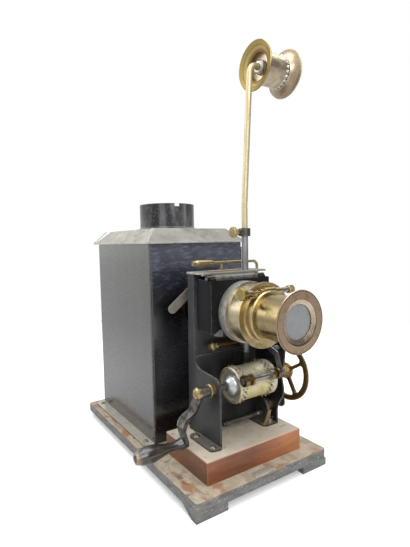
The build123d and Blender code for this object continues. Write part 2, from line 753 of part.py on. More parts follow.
def wood_screws():
    """Round-head screws of the house and the left foot, and the stud of the right foot."""
    screw = round_head_screw(WOOD_SCREW_RADIUS, 1.8, WOOD_SCREW_SHANK, WOOD_SCREW_LENGTH)
    pieces = [Pos(x, y, BLOCK_TOP + FOOT_FLANGE_THICKNESS) * screw for x, y in cheek_screw_places()]
    pieces += [Pos(x, y, BOARD_TOP + TIN) * screw for x, y in house_screw_places()]
    stud_bottom = BLOCK_TOP - WOOD_SCREW_LENGTH
    pieces.append(rod("Z", stud_bottom, BLOCK_TOP + 10, (*wing_stud_place(), 0), WING_STUD_RADIUS))
    return Compound(pieces)


def wing_nut():
    """Nut with two raised ears on the stud of the right foot."""
    x, y = wing_stud_place()
    base = BLOCK_TOP + FOOT_FLANGE_THICKNESS
    bore = WING_STUD_RADIUS + RUNNING_FIT
    nut = turned([(base, bore), (base, 3.2), (base + 3.4, 2.5), (base + 3.4, bore)], "Z", (x, y, 0))
    wing = outline([(2.0, 0.6), (3.4, 0.8), (4.9, 3.6), (3.9, 4.8), (2.0, 3.2)], [0, 0.6, 0.8, 0.8, 0])
    ear = Pos(x, y, base) * plate_y(wing, -0.6, 0.6)
    other = Pos(x, y, base) * Rot(0, 0, 180) * plate_y(wing, -0.6, 0.6)
    return nut + ear + other


def back_plate():
    """Upright plate between the cheeks with the picture aperture in it."""
    plate = block(LEFT_INNER_X, RIGHT_INNER_X, GATE_Y, GATE_Y + SHEET, BLOCK_TOP, SHELF_Z)
    window = block(
        OPTICAL_X - FRAME_WIDTH / 2 - 1,
        OPTICAL_X + FRAME_WIDTH / 2 + 1,
        GATE_Y - 1,
        GATE_Y + SHEET + 1,
        OPTICAL_Z - FRAME_HEIGHT / 2 - 1,
        OPTICAL_Z + FRAME_HEIGHT / 2 + 1,
    )
    rib = rod("X", LEFT_INNER_X, RIGHT_INNER_X, (0, GATE_Y, 100.0), 0.8)
    rib &= block(LEFT_INNER_X, RIGHT_INNER_X, GATE_Y - 1, GATE_Y, 99, 101)
    return plate + rib + douser_post() - window


RUNNER_BELOW = OPTICAL_Z - 21.0
RUNNER_ABOVE = OPTICAL_Z + 29.0
PRESSURE_BELOW = RUNNER_BELOW + 3.0
PRESSURE_ABOVE = RUNNER_ABOVE - 3.0
RUNNER_THICKNESS = 1.0
RAIL_HEIGHT = 0.4
RAIL_WIDTH = 1.6


def film_runner(x0, x1, z0, z1, y0, y1):
    """Flat plate with a picture-sized window on the optical axis."""
    plate = block(x0, x1, y0, y1, z0, z1)
    window = Pos(OPTICAL_X, (y0 + y1) / 2, OPTICAL_Z) * Box(FRAME_WIDTH, 4, FRAME_HEIGHT)
    window = fillet(window.edges().filter_by(Axis.Y), 1.5)
    return plate - window


def aperture_plate():
    """Polished runner on the back plate with side rails for the film."""
    half = FILM_WIDTH / 2
    left = OPTICAL_X - half - 2
    right = OPTICAL_X + half + 2
    face = GATE_Y - RUNNER_THICKNESS
    plate = film_runner(left, right, RUNNER_BELOW, RUNNER_ABOVE, face, GATE_Y)
    for x0, x1 in ((left, left + RAIL_WIDTH), (right - RAIL_WIDTH, right)):
        plate += block(x0, x1, face - RAIL_HEIGHT, face, RUNNER_BELOW, RUNNER_ABOVE)
    return plate


def gate_frame():
    """Pressure frame that lies on the film, with its ends curled forward."""
    half = FILM_WIDTH / 2
    left = OPTICAL_X - half
    right = OPTICAL_X + half
    back = GATE_Y - RUNNER_THICKNESS - RAIL_HEIGHT
    face = back - RUNNER_THICKNESS
    frame = film_runner(left, right, PRESSURE_BELOW, PRESSURE_ABOVE, face, back)
    for z in (PRESSURE_BELOW, PRESSURE_ABOVE):
        frame += rod("X", left, right, (0, face, z), RUNNER_THICKNESS)
    return frame


def gate_springs():
    """Two bowed leaf springs from the aperture plate's rails to the pressure frame."""
    springs = []
    for x in (OPTICAL_X - FILM_WIDTH / 2 + 1.6, OPTICAL_X + FILM_WIDTH / 2 - 1.6):
        back = GATE_Y - 2.4
        bow = ThreePointArc((back, 128), (back - 1.6, OPTICAL_Z), (back, 150))
        inner = ThreePointArc((back, 149.4), (back - 1.2, OPTICAL_Z), (back, 128.6))
        face = make_face([bow, Line((back, 150), (back, 149.4)), inner, Line((back, 128.6), (back, 128))])
        springs.append(plate_x(face, x - 1.4, x + 1.4))
    return Compound(springs)


def shelf_bead():
    """Rolled bead along the front of the shelf."""
    return rod("X", LEFT_FACE_X, LEFT_FACE_X + 58, (0, SHELF_FRONT, SHELF_Z + 0.4), 1.3)


def top_shelf():
    """Shelf across the cheeks with a film slot and a rolled bead along its front."""
    top = SHELF_Z + SHELF_THICKNESS
    shelf = block(LEFT_FACE_X, RIGHT_FACE_X, SHELF_FRONT, CHEEK_BACK, SHELF_Z, top)
    shelf = fillet(shelf.edges().filter_by(Axis.Z), 1.0)
    shelf += shelf_bead()
    half = FILM_WIDTH / 2 + 1
    slot = block(OPTICAL_X - half, OPTICAL_X + half, GATE_Y - 4, GATE_Y - 1, SHELF_Z - 1, top + 1)
    shelf -= fillet(slot.edges().filter_by(Axis.Z), 1.2)
    return shelf - rod("Z", SHELF_Z - 1, top + 1, (TUBE_X, TUBE_Y, 0), TUBE_RADIUS)


def gate_hinge():
    """Fixed middle knuckle under the shelf, with the pin of the lens box through it."""
    start = -19.7
    end = 25.0
    hinge = rod("X", start, end, (0, GATE_HINGE_Y, GATE_HINGE_Z), GATE_HINGE_RADIUS)
    hinge += rod("X", start - 8.5, end + 8.5, (0, GATE_HINGE_Y, GATE_HINGE_Z), GATE_PIN_RADIUS)
    leaf = outline(
        [
            (GATE_HINGE_Y, GATE_HINGE_Z + GATE_HINGE_RADIUS),
            (GATE_HINGE_Y, GATE_HINGE_Z + GATE_HINGE_RADIUS - 0.9),
            (SHELF_FRONT + 0.6, SHELF_Z - 0.9),
            (SHELF_FRONT + 6, SHELF_Z - 0.9),
            (SHELF_FRONT + 6, SHELF_Z),
            (SHELF_FRONT + 1.5, SHELF_Z),
        ],
        [0, 0, 0, 0, 0, 0],
    )
    leaf = plate_x(leaf, start, end) - rod("Z", SHELF_Z - 2, SHELF_Z + 1, (TUBE_X, TUBE_Y, 0), TUBE_RADIUS)
    return hinge + (leaf - shelf_bead())


TOP_ROD_RADIUS = 1.3
SLEEVE_START = -27.0
SLEEVE_END = -8.5
TOP_ROD_Z = 180.2


def top_guide_rod():
    """Brass rod over the shelf, bent down against the right cheek's outer face."""
    bend_x = RIGHT_FACE_X + TOP_ROD_RADIUS
    path_points = [
        (SLEEVE_START - 2, GATE_Y, TOP_ROD_Z),
        (bend_x, GATE_Y, TOP_ROD_Z),
        (bend_x, GATE_Y, SHELF_Z - 5),
    ]
    wire = bent_rod(path_points, [5.0], TOP_ROD_RADIUS)
    leg = rod("Z", SHELF_Z + SHELF_THICKNESS, TOP_ROD_Z, (LEFT_FACE_X + 30, GATE_Y, 0), 1.0)
    cap = rod("X", SLEEVE_START - 2, SLEEVE_START - 0.3, (0, GATE_Y, TOP_ROD_Z), 2.0)
    return wire + leg + cap


def guide_sleeve():
    """Loose brass sleeve that rolls on the left half of the guide rod."""
    bore = TOP_ROD_RADIUS + RUNNING_FIT
    profile = [
        (SLEEVE_START, bore),
        (SLEEVE_START, 2.4),
        (SLEEVE_START + 3, 2.9),
        (SLEEVE_END - 2, 2.5),
        (SLEEVE_END, 2.1),
        (SLEEVE_END, bore),
    ]
    return turned(profile, "X", (0, GATE_Y, TOP_ROD_Z))


def arm_tube():
    """Upright tube through the shelf that holds the reel arm, with the framing screw's boss."""
    tube = rod("Z", TUBE_BOTTOM, TUBE_TOP, (TUBE_X, TUBE_Y, 0), TUBE_RADIUS)
    tube += rod("X", TUBE_X - TUBE_RADIUS - 3.4, TUBE_X, (0, TUBE_Y, FRAMING_Z), 3.4)
    screw_bore = FRAMING_SCREW_RADIUS + RUNNING_FIT
    tube -= rod("X", TUBE_X - 10, TUBE_X - TUBE_BORE, (0, TUBE_Y, FRAMING_Z), screw_bore)
    return tube - rod("Z", TUBE_BOTTOM, TUBE_TOP, (TUBE_X, TUBE_Y, 0), TUBE_BORE)


def tube_bracket():
    """Strap round the foot of the tube, standing off the back plate."""
    z0 = TUBE_BOTTOM + 2
    z1 = z0 + 9
    strap = rod("Z", z0, z1, (TUBE_X, TUBE_Y, 0), TUBE_RADIUS + 1.2)
    strap += block(TUBE_X - 2, TUBE_X + 2, TUBE_Y, GATE_Y, z0, z1)
    strap += block(TUBE_X - 8, TUBE_X + 8, GATE_Y - 1.2, GATE_Y, z0, z1)
    return strap - rod("Z", z0 - 1, z1 + 1, (TUBE_X, TUBE_Y, 0), TUBE_RADIUS)


CLAMP_BOTTOM = 203.0
CLAMP_TOP = 210.0
CLAMP_SCREW_RADIUS = 1.4
CLAMP_SLACK = 1.3
MILLED_RADIUS = 4.5
MILLED_NECK = 2.2


def arm_clamp():
    """Split brass collar on top of the tube, tapped for its thumb screw."""
    collar = rod("Z", CLAMP_BOTTOM, CLAMP_TOP, (TUBE_X, TUBE_Y, 0), 5.0)
    collar += rod("X", TUBE_X - 7, TUBE_X, (0, TUBE_Y, (CLAMP_BOTTOM + CLAMP_TOP) / 2), 3.0)
    collar -= rod("Z", CLAMP_BOTTOM, TUBE_TOP, (TUBE_X, TUBE_Y, 0), TUBE_RADIUS)
    collar -= rod("Z", CLAMP_BOTTOM, CLAMP_TOP, (TUBE_X, TUBE_Y, 0), ARM_ROD_RADIUS + RUNNING_FIT)
    middle = (CLAMP_BOTTOM + CLAMP_TOP) / 2
    screw_hole = CLAMP_SCREW_RADIUS + RUNNING_FIT
    return collar - rod("X", TUBE_X - 8, TUBE_X - TUBE_RADIUS, (0, TUBE_Y, middle), screw_hole)


def thumb_screw():
    """Milled disc and screw that lock the reel arm, slackened so that the arm can swing."""
    middle = (CLAMP_BOTTOM + CLAMP_TOP) / 2
    tip = TUBE_X - TUBE_RADIUS - CLAMP_SLACK
    profile = [
        (TUBE_X - 14.5, 0),
        (TUBE_X - 14.5, MILLED_RADIUS),
        (TUBE_X - 11.5, MILLED_RADIUS),
        (TUBE_X - 11.0, MILLED_NECK),
        (TUBE_X - 7.3, MILLED_NECK),
        (TUBE_X - 7.3, CLAMP_SCREW_RADIUS),
        (tip, CLAMP_SCREW_RADIUS),
        (tip, 0),
    ]
    return turned(profile, "X", (0, TUBE_Y, middle))


BEATER_BUSH_RADIUS = 4.4


def shaft_bushes():
    """Turned brass bushes of the main shaft and the beater shaft."""
    bore = MAIN_SHAFT_RADIUS + RUNNING_FIT
    seat = BUSH_RADIUS - 1.5
    left_profile = [
        (LEFT_FACE_X - 4, bore),
        (LEFT_FACE_X - 4, BUSH_RADIUS - 0.6),
        (LEFT_FACE_X - 3.4, BUSH_RADIUS),
        (LEFT_FACE_X, BUSH_RADIUS),
        (LEFT_FACE_X, seat),
        (LEFT_INNER_X + 2, seat),
        (LEFT_INNER_X + 2, bore),
    ]
    right_profile = [
        (RIGHT_INNER_X - 2, bore),
        (RIGHT_INNER_X - 2, seat),
        (RIGHT_FACE_X, seat),
        (RIGHT_FACE_X, BUSH_RADIUS + 1),
        (RIGHT_FACE_X + 2, BUSH_RADIUS + 1),
        (RIGHT_FACE_X + 5, BUSH_RADIUS - 1),
        (RIGHT_FACE_X + 5, bore),
    ]
    left = turned(left_profile, "X", (0, MAIN_Y, MAIN_Z))
    right = turned(right_profile, "X", (0, MAIN_Y, MAIN_Z))
    beater_bore = BEATER_SHAFT_RADIUS + RUNNING_FIT
    beater_profile = [
        (RIGHT_INNER_X - 4, beater_bore),
        (RIGHT_INNER_X - 4, BEATER_BUSH_RADIUS + 0.8),
        (RIGHT_INNER_X, BEATER_BUSH_RADIUS + 0.8),
        (RIGHT_INNER_X, BEATER_BUSH_RADIUS),
        (RIGHT_FACE_X + 5, BEATER_BUSH_RADIUS),
        (RIGHT_FACE_X + 5, beater_bore),
    ]
    lower = turned(beater_profile, "X", (0, BEATER_Y, BEATER_Z))
    return Compound([left, right, lower])


def film_stripper():
    """Thin brass strip on the right foot that lifts the film off the drum."""
    front = BOARD_FRONT + 33.0
    x = RIGHT_INNER_X - 14.2
    lean = outline(
        [
            (front, BLOCK_TOP + FOOT_FLANGE_THICKNESS),
            (front + 3.5, BLOCK_TOP + FOOT_FLANGE_THICKNESS),
            (front + 3.5, BLOCK_TOP + 2.1),
            (front + 0.7, BLOCK_TOP + 2.1),
            (front - 5.3, BLOCK_TOP + 17),
            (front - 6.0, BLOCK_TOP + 17),
        ],
        [0, 0, 0, 0, 0, 0],
    )
    return plate_x(lean, x, x + 3.4)


# Main shaft, crank, drum and gear

def main_shaft():
    """Steel shaft from the crank to the drive gear, shouldered outside the left bush."""
    outer = CRANK_X
    shoulder = LEFT_FACE_X - 4 - 0.2
    profile = [
        (outer, 0),
        (outer, MAIN_SHAFT_RADIUS),
        (CRANK_X + CRANK_THICKNESS, MAIN_SHAFT_RADIUS),
        (CRANK_X + CRANK_THICKNESS, MAIN_SHAFT_RADIUS + 1.8),
        (shoulder, MAIN_SHAFT_RADIUS + 1.8),
        (shoulder, MAIN_SHAFT_RADIUS),
        (GEAR_X + GEAR_THICKNESS + 2, MAIN_SHAFT_RADIUS),
        (GEAR_X + GEAR_THICKNESS + 2, 0),
    ]
    return turned(profile, "X", (0, MAIN_Y, MAIN_Z))


def around_main(radius, angle):
    """Y and Z of a point at a radius and an angle in degrees round the main shaft."""
    turn = math.radians(angle)
    return MAIN_Y + radius * math.cos(turn), MAIN_Z + radius * math.sin(turn)


CRANK_PIN_Y, CRANK_PIN_Z = around_main(CRANK_RADIUS, CRANK_PIN_ANGLE)
CRANK_ELBOW_Y, CRANK_ELBOW_Z = around_main(CRANK_ELBOW_RADIUS, CRANK_ELBOW_ANGLE)


def capsule(y0, z0, y1, z1, radius):
    """Round-ended bar outline between two centres in Y and Z."""
    length = math.hypot(y1 - y0, z1 - z0)
    angle = math.degrees(math.atan2(z1 - z0, y1 - y0))
    return Pos((y0 + y1) / 2, (z0 + z1) / 2) * Rot(0, 0, angle) * SlotCenterToCenter(length, 2 * radius)


def crank_arm():
    """Forged arm with an elbow in its width, a joggle that carries its end outward, and its pin."""
    half = CRANK_WIDTH / 2
    upper = capsule(MAIN_Y, MAIN_Z, CRANK_ELBOW_Y, CRANK_ELBOW_Z, half)
    lower = capsule(CRANK_ELBOW_Y, CRANK_ELBOW_Z, CRANK_PIN_Y, CRANK_PIN_Z, half - 0.3)
    blank = plate_x(upper + lower, CRANK_OUTER_X - 1, CRANK_X + CRANK_THICKNESS)
    joggle_top = CRANK_ELBOW_Z + 6.5
    joggle_end = CRANK_ELBOW_Z - 4.5
    inner = CRANK_X + CRANK_THICKNESS
    outer_inner = CRANK_OUTER_X + CRANK_THICKNESS
    slant = CRANK_THICKNESS * 0.9
    side = outline(
        [
            (CRANK_X, MAIN_Z + 10),
            (inner, MAIN_Z + 10),
            (inner, joggle_top - slant),
            (outer_inner, joggle_end - slant),
            (outer_inner, CRANK_PIN_Z - 10),
            (CRANK_OUTER_X, CRANK_PIN_Z - 10),
            (CRANK_OUTER_X, joggle_end),
            (CRANK_X, joggle_top),
        ],
        [0, 0, 4.0, 1.5, 0, 0, 4.0, 1.5],
    )
    arm = blank & plate_y(side, MAIN_Y - 20, MAIN_Y + 40)
    arm -= rod("X", CRANK_X - 5, inner + 1, (0, MAIN_Y, MAIN_Z), MAIN_SHAFT_RADIUS)
    return arm + crank_pin()


def crank_screw():
    """Slotted brass screw that holds the crank arm on the shaft."""
    head = turned(
        [(CRANK_X, 0), (CRANK_X, 5.0), (CRANK_X - 2.2, 5.0), (CRANK_X - 3.6, 3.6), (CRANK_X - 3.6, 0)],
        "X",
        (0, MAIN_Y, MAIN_Z),
    )
    slot = Box(1.4, 12, 1.1)
    return head - Pos(CRANK_X - 3.4, MAIN_Y, MAIN_Z) * Rot(20, 0, 0) * slot


HANDLE_START = CRANK_OUTER_X - 1.0
HANDLE_END = HANDLE_START - HANDLE_LENGTH
PIN_HEAD_RADIUS = 2.6
PIN_WASHER_RADIUS = 3.2


def crank_pin():
    """Pin riveted in the arm, with a head sunk in the end of the handle."""
    centre = (0, CRANK_PIN_Y, CRANK_PIN_Z)
    pin = rod("X", HANDLE_END + 1.6, CRANK_OUTER_X + CRANK_THICKNESS, centre, HANDLE_PIN_RADIUS)
    washer = rod("X", HANDLE_START + 0.15, CRANK_OUTER_X, centre, PIN_WASHER_RADIUS)
    head = rod("X", HANDLE_END + 0.6, HANDLE_END + 1.8, centre, PIN_HEAD_RADIUS)
    return pin + washer + head


def crank_handle():
    """Turned wooden grip: flared at the arm, waisted, and full near its free end."""
    length = HANDLE_LENGTH
    s = HANDLE_START
    bore = HANDLE_PIN_RADIUS + RUNNING_FIT
    lines = [
        Line((s, bore), (s, 4.4)),
        Line((s, 4.4), (s - 2.0, 5.0)),
        Spline(
            (s - 2.0, 5.0),
            (s - length * 0.3, 3.7),
            (s - length * 0.76, HANDLE_RADIUS),
            (s - length + 1.6, HANDLE_RADIUS - 2.0),
        ),
        Line((s - length + 1.6, HANDLE_RADIUS - 2.0), (s - length, HANDLE_RADIUS - 2.4)),
        Line((s - length, HANDLE_RADIUS - 2.4), (s - length, 2.9)),
        Line((s - length, 2.9), (s - length + 2.1, 2.9)),
        Line((s - length + 2.1, 2.9), (s - length + 2.1, bore)),
        Line((s - length + 2.1, bore), (s, bore)),
    ]
    return turned_lines(lines, "X", (0, CRANK_PIN_Y, CRANK_PIN_Z))


TOOTH_FOOT = (1.9, 1.5)
TOOTH_TIP = (0.8, 0.5)
DRUM_TRACK = 7.6


def sprocket_tooth():
    """Film tooth: a small pyramid seated on the drum's surface, pointing along +Y."""
    foot = Plane.XZ.offset(-DRUM_RADIUS + 0.3) * Rectangle(*TOOTH_FOOT)
    tip = Plane.XZ.offset(-DRUM_RADIUS - TOOTH_HEIGHT) * Rectangle(*TOOTH_TIP)
    return loft([foot, tip], ruled=True) - rod("X", -TOOTH_FOOT[0], TOOTH_FOOT[0], (0, 0, 0), DRUM_RADIUS)


def sprocket_teeth():
    """Two rows of film teeth round the drum."""
    tooth = sprocket_tooth()
    teeth = []
    for row_x in (OPTICAL_X - ROW_SPACING / 2, OPTICAL_X + ROW_SPACING / 2):
        for place in range(TEETH_PER_ROW):
            turn = Rot(360 / TEETH_PER_ROW * (place + 0.5), 0, 0)
            teeth.append(Pos(row_x, MAIN_Y, MAIN_Z) * turn * tooth)
    return Compound(teeth)


def sprocket_drum():
    """Hollow drum with raised tracks for the film's edges."""
    end = DRUM_X + DRUM_LENGTH
    track = DRUM_TRACK
    wall = DRUM_RADIUS - DRUM_WALL - DRUM_RELIEF
    low = DRUM_RADIUS - DRUM_RELIEF
    bore = MAIN_SHAFT_RADIUS
    profile = [
        (DRUM_X, wall),
        (DRUM_X, DRUM_RADIUS - 0.8),
        (DRUM_X + 0.8, DRUM_RADIUS),
        (DRUM_X + track, DRUM_RADIUS),
        (DRUM_X + track, low),
        (end - track, low),
        (end - track, DRUM_RADIUS),
        (end - 0.8, DRUM_RADIUS),
        (end, DRUM_RADIUS - 0.8),
        (end, bore),
        (end - 3, bore),
        (end - 3, wall),
        (DRUM_X + 9, wall),
        (DRUM_X + 9, bore),
        (DRUM_X + 7, bore),
        (DRUM_X + 7, wall),
    ]
    return turned(profile, "X", (0, MAIN_Y, MAIN_Z))


def drum_cap():
    """Bright dished disc closing the drum's open end."""
    radius = DRUM_RADIUS - DRUM_WALL - DRUM_RELIEF
    rim = DRUM_X + 2.0
    deep = rim + 4.0
    lines = [
        Line((deep, MAIN_SHAFT_RADIUS), (deep + 1, MAIN_SHAFT_RADIUS)),
        ThreePointArc((deep + 1, MAIN_SHAFT_RADIUS), (rim + 3.8, radius * 0.6), (rim + 1, radius)),
        Line((rim + 1, radius), (rim, radius)),
        ThreePointArc((rim, radius), (rim + 2.8, radius * 0.6), (deep, MAIN_SHAFT_RADIUS)),
    ]
    return turned_lines(lines, "X", (0, MAIN_Y, MAIN_Z))


TOOTH_SHARE = 0.42
MESH_ANGLE = math.degrees(math.atan2(BEATER_Z - MAIN_Z, BEATER_Y - MAIN_Y))


def spoke_window(inner, outer, spoke, index):
    """Opening between two neighbouring spokes, with well rounded corners."""
    ring = Circle(outer) - Circle(inner)
    pitch = 360 / GEAR_SPOKES
    middle = 60 + pitch * (index + 0.5)
    half = math.radians(pitch / 2)
    reach = outer * 2
    wedge = make_face(
        Polyline(
            (spoke / math.sin(half) / 2, 0),
            (reach * math.cos(half), reach * math.sin(half) - spoke / 2),
            (reach * math.cos(half), -reach * math.sin(half) + spoke / 2),
            close=True,
        )
    )
    window = Rot(0, 0, middle) * (wedge & ring)
    return fillet(window.vertices(), 2.4)


def drive_gear():
    """Fine-toothed spoked wheel with a conical hub towards the cheek."""
    root = MODULE * GEAR_TEETH / 2 - 1.3 * MODULE
    wheel = gear_outline(GEAR_TEETH, MODULE, TOOTH_SHARE, MESH_ANGLE)
    for index in range(GEAR_SPOKES):
        wheel -= spoke_window(7.0, root - GEAR_RIM, 3.2, index)
    gear = extrude(Plane.YZ * wheel, amount=GEAR_THICKNESS)
    hub_start = RIGHT_FACE_X + 5.3 - GEAR_X
    hub = turned(
        [
            (hub_start, 0),
            (hub_start, 4.4),
            (-1, 6.6),
            (GEAR_THICKNESS + 0.8, 6.6),
            (GEAR_THICKNESS + 1.6, 5.0),
            (GEAR_THICKNESS + 1.6, 0),
        ],
        "X",
        (0, 0, 0),
    )
    gear += hub
    gear -= rod("X", hub_start - 1, GEAR_THICKNESS + 3, (0, 0, 0), MAIN_SHAFT_RADIUS)
    return Pos(GEAR_X, MAIN_Y, MAIN_Z) * gear


# Beater that pulls the film down one picture at a time

BEATER_DISC_X = 29.6
BEATER_DISC_THICKNESS = 2.4
BEATER_PIN_RADIUS = 1.1
BEATER_ROLLER_END = OPTICAL_X - FILM_WIDTH / 2 - 1.0


def beater_shaft():
    """Shaft with its disc and the eccentric pin that carries the beater roller."""
    profile = [
        (BEATER_DISC_X, 0),
        (BEATER_DISC_X, BEATER_DISC_RADIUS - 0.6),
        (BEATER_DISC_X + 0.6, BEATER_DISC_RADIUS),
        (BEATER_DISC_X + BEATER_DISC_THICKNESS, BEATER_DISC_RADIUS),
        (BEATER_DISC_X + BEATER_DISC_THICKNESS, BEATER_SHAFT_RADIUS),
        (GEAR_X + GEAR_THICKNESS + 1.5, BEATER_SHAFT_RADIUS),
        (GEAR_X + GEAR_THICKNESS + 1.5, 0),
    ]
    shaft = turned(profile, "X", (0, BEATER_Y, BEATER_Z))
    pin_z = BEATER_Z - BEATER_THROW
    pin = rod("X", BEATER_ROLLER_END - 1.6, BEATER_DISC_X, (0, BEATER_Y, pin_z), BEATER_PIN_RADIUS)
    cap = rod("X", BEATER_ROLLER_END - 2.2, BEATER_ROLLER_END - 0.4, (0, BEATER_Y, pin_z), 2.2)
    return shaft + pin + cap


def beater_roller():
    """Free roller on the beater's pin, as long as the film is wide."""
    bore = BEATER_PIN_RADIUS + RUNNING_FIT
    end = BEATER_DISC_X - 0.3
    start = BEATER_ROLLER_END
    profile = [
        (start, bore),
        (start, BEATER_ROLLER_RADIUS),
        (start + 4, BEATER_ROLLER_RADIUS),
        (start + 5, BEATER_ROLLER_RADIUS - 0.5),
        (end - 5, BEATER_ROLLER_RADIUS - 0.5),
        (end - 4, BEATER_ROLLER_RADIUS),
        (end, BEATER_ROLLER_RADIUS),
        (end, bore),
    ]
    return turned(profile, "X", (0, BEATER_Y, BEATER_Z - BEATER_THROW))


def beater_pinion():
    """Pinion on the beater shaft, one gap facing the wheel's tooth."""
    facing = MESH_ANGLE + 180
    wheel = gear_outline(PINION_TEETH, MODULE, TOOTH_SHARE, facing + 180 / PINION_TEETH)
    pinion = extrude(Plane.YZ * wheel, amount=GEAR_THICKNESS)
    pinion += rod("X", -4.0, 0, (0, 0, 0), 3.4)
    pinion -= rod("X", -5, GEAR_THICKNESS + 1, (0, 0, 0), BEATER_SHAFT_RADIUS)
    return Pos(GEAR_X, BEATER_Y, BEATER_Z) * pinion


# Guide roller and its sprung arm

def roller_arm():
    """Nickelled arm with the roller's spindle and its own pivot in the right cheek."""
    lower = capsule(ROLLER_Y, ROLLER_Z, ARM_PIVOT_Y - 7, ARM_PIVOT_Z - 2.5, 2.4)
    upper = capsule(ARM_PIVOT_Y - 7, ARM_PIVOT_Z - 2.5, ARM_PIVOT_Y, ARM_PIVOT_Z, 2.4)
    arm = plate_x(lower + upper, ARM_X, ARM_X + 1.3)
    spindle_end = OPTICAL_X - ROW_SPACING / 2 - 5.6
    arm += rod("X", spindle_end, ARM_X + 2.4, (0, ROLLER_Y, ROLLER_Z), ROLLER_SPINDLE)
    arm += rod("X", spindle_end - 1.2, spindle_end, (0, ROLLER_Y, ROLLER_Z), 2.2)
    cup = [(ARM_X + 1.3, 0), (ARM_X + 1.3, 3.0), (ARM_X + 3.4, 2.6), (ARM_X + 4.2, 1.2), (ARM_X + 4.2, 0)]
    arm += turned(cup, "X", (0, ROLLER_Y, ROLLER_Z))
    arm += rod("X", ARM_X, RIGHT_FACE_X + 0.3, (0, ARM_PIVOT_Y, ARM_PIVOT_Z), ARM_PIVOT_RADIUS)
    return arm + rod("X", RIGHT_FACE_X + 0.3, RIGHT_FACE_X + 1.6, (0, ARM_PIVOT_Y, ARM_PIVOT_Z), 2.4)


def guide_roller():
    """Brass roller whose discs straddle both rows of teeth."""
    bore = ROLLER_SPINDLE + RUNNING_FIT
    neck = 2.2
    start = OPTICAL_X - ROW_SPACING / 2 - 5.3
    end = OPTICAL_X + ROW_SPACING / 2 + 5.0
    profile = [(start, bore)]
    for row_x in (OPTICAL_X - ROW_SPACING / 2, OPTICAL_X + ROW_SPACING / 2):
        left = max(row_x - 5.0, start)
        right = min(row_x + 4.2, end)
        profile += [
            (left, neck),
            (left, ROLLER_RADIUS),
            (row_x - 1.9, ROLLER_RADIUS),
            (row_x - 1.9, neck),
            (row_x + 1.9, neck),
            (row_x + 1.9, ROLLER_RADIUS),
            (right, ROLLER_RADIUS),
            (right, neck),
        ]
    profile += [(end, neck), (end, bore)]
    return turned(profile, "X", (0, ROLLER_Y, ROLLER_Z))


def arm_spring():
    """Small spring wound on the roller arm's pivot, seated against the cheek."""
    radius = ARM_PIVOT_RADIUS + SPRING_WIRE + SLIDING_GAP
    spring = coil("arm_spring", radius, SPRING_WIRE, ARM_SPRING_PITCH, ARM_SPRING_TURNS)
    box = spring.bounding_box()
    return Pos(RIGHT_INNER_X - box.max.X, ARM_PIVOT_Y, ARM_PIVOT_Z) * spring


# Framing screw with its spring

def framing_spring():
    """Copper spring round the framing screw, seated on the boss beside the tube."""
    spring = coil("framing_spring", SPRING_RADIUS, SPRING_WIRE, SPRING_PITCH, SPRING_TURNS)
    boss_face = TUBE_X - TUBE_RADIUS - 3.4
    return Pos(boss_face - spring.bounding_box().max.X, TUBE_Y, FRAMING_Z) * spring


def framing_knob():
    """Turned brass knob on the framing screw."""
    x = -18.8
    end = TUBE_X - TUBE_RADIUS - 0.2
    profile = [
        (x, 0),
        (x, 2.6),
        (x + 1.2, 3.5),
        (x + 4.0, 3.5),
        (x + 5.0, 2.0),
        (x + 6.0, 3.0),
        (x + 7.4, 3.0),
        (x + 7.4, FRAMING_SCREW_RADIUS),
        (end, FRAMING_SCREW_RADIUS),
        (end, 0),
    ]
    return turned(profile, "X", (0, TUBE_Y, FRAMING_Z))


# Lens box and lens

def gate_box():
    """Sheet box in front of the film, open behind, above and below, with its knuckles."""
    depth = BOX_FRONT + BOX_DEPTH
    box = block(BOX_LEFT_X, BOX_RIGHT_X, BOX_FRONT, depth, BOX_BOTTOM, BOX_TOP)
    box -= block(
        BOX_LEFT_X + SHEET,
        BOX_RIGHT_X - SHEET,
        BOX_FRONT + SHEET,
        depth + 1,
        BOX_BOTTOM - 1,
        BOX_TOP + 1,
    )
    box -= rod("Y", BOX_FRONT - 1, BOX_FRONT + 3, (OPTICAL_X, 0, OPTICAL_Z), 14.5)
    ears = []
    for x0, x1 in ((-28.0, -20.0), (25.3, 33.0)):
        ear = rod("X", x0, x1, (0, GATE_HINGE_Y, GATE_HINGE_Z), GATE_HINGE_RADIUS)
        ear += block(max(x0, BOX_LEFT_X), x1, BOX_FRONT, BOX_FRONT + SHEET, BOX_TOP - 4, GATE_HINGE_Z)
        bore = rod("X", x0 - 1, x1 + 1, (0, GATE_HINGE_Y, GATE_HINGE_Z), GATE_PIN_RADIUS + RUNNING_FIT)
        ears.append(ear - bore)
    clear = rod("X", -20.0, 25.3, (0, GATE_HINGE_Y, GATE_HINGE_Z), GATE_HINGE_RADIUS + SLIDING_GAP)
    box -= clear
    for ear in ears:
        box += ear
    return box


def gate_catch():
    """Bright bent catch on the lower left corner of the lens box."""
    x = BOX_LEFT_X + 1.0
    shape = outline(
        [(x, BOX_BOTTOM - 1.6), (x + 9.5, BOX_BOTTOM - 3.6), (x + 9.5, BOX_BOTTOM + 2.5), (x + 6.5, BOX_BOTTOM + 2.5)],
        [0.8, 0.8, 0, 0.8],
    )
    return plate_y(shape, BOX_FRONT - 0.8, BOX_FRONT)


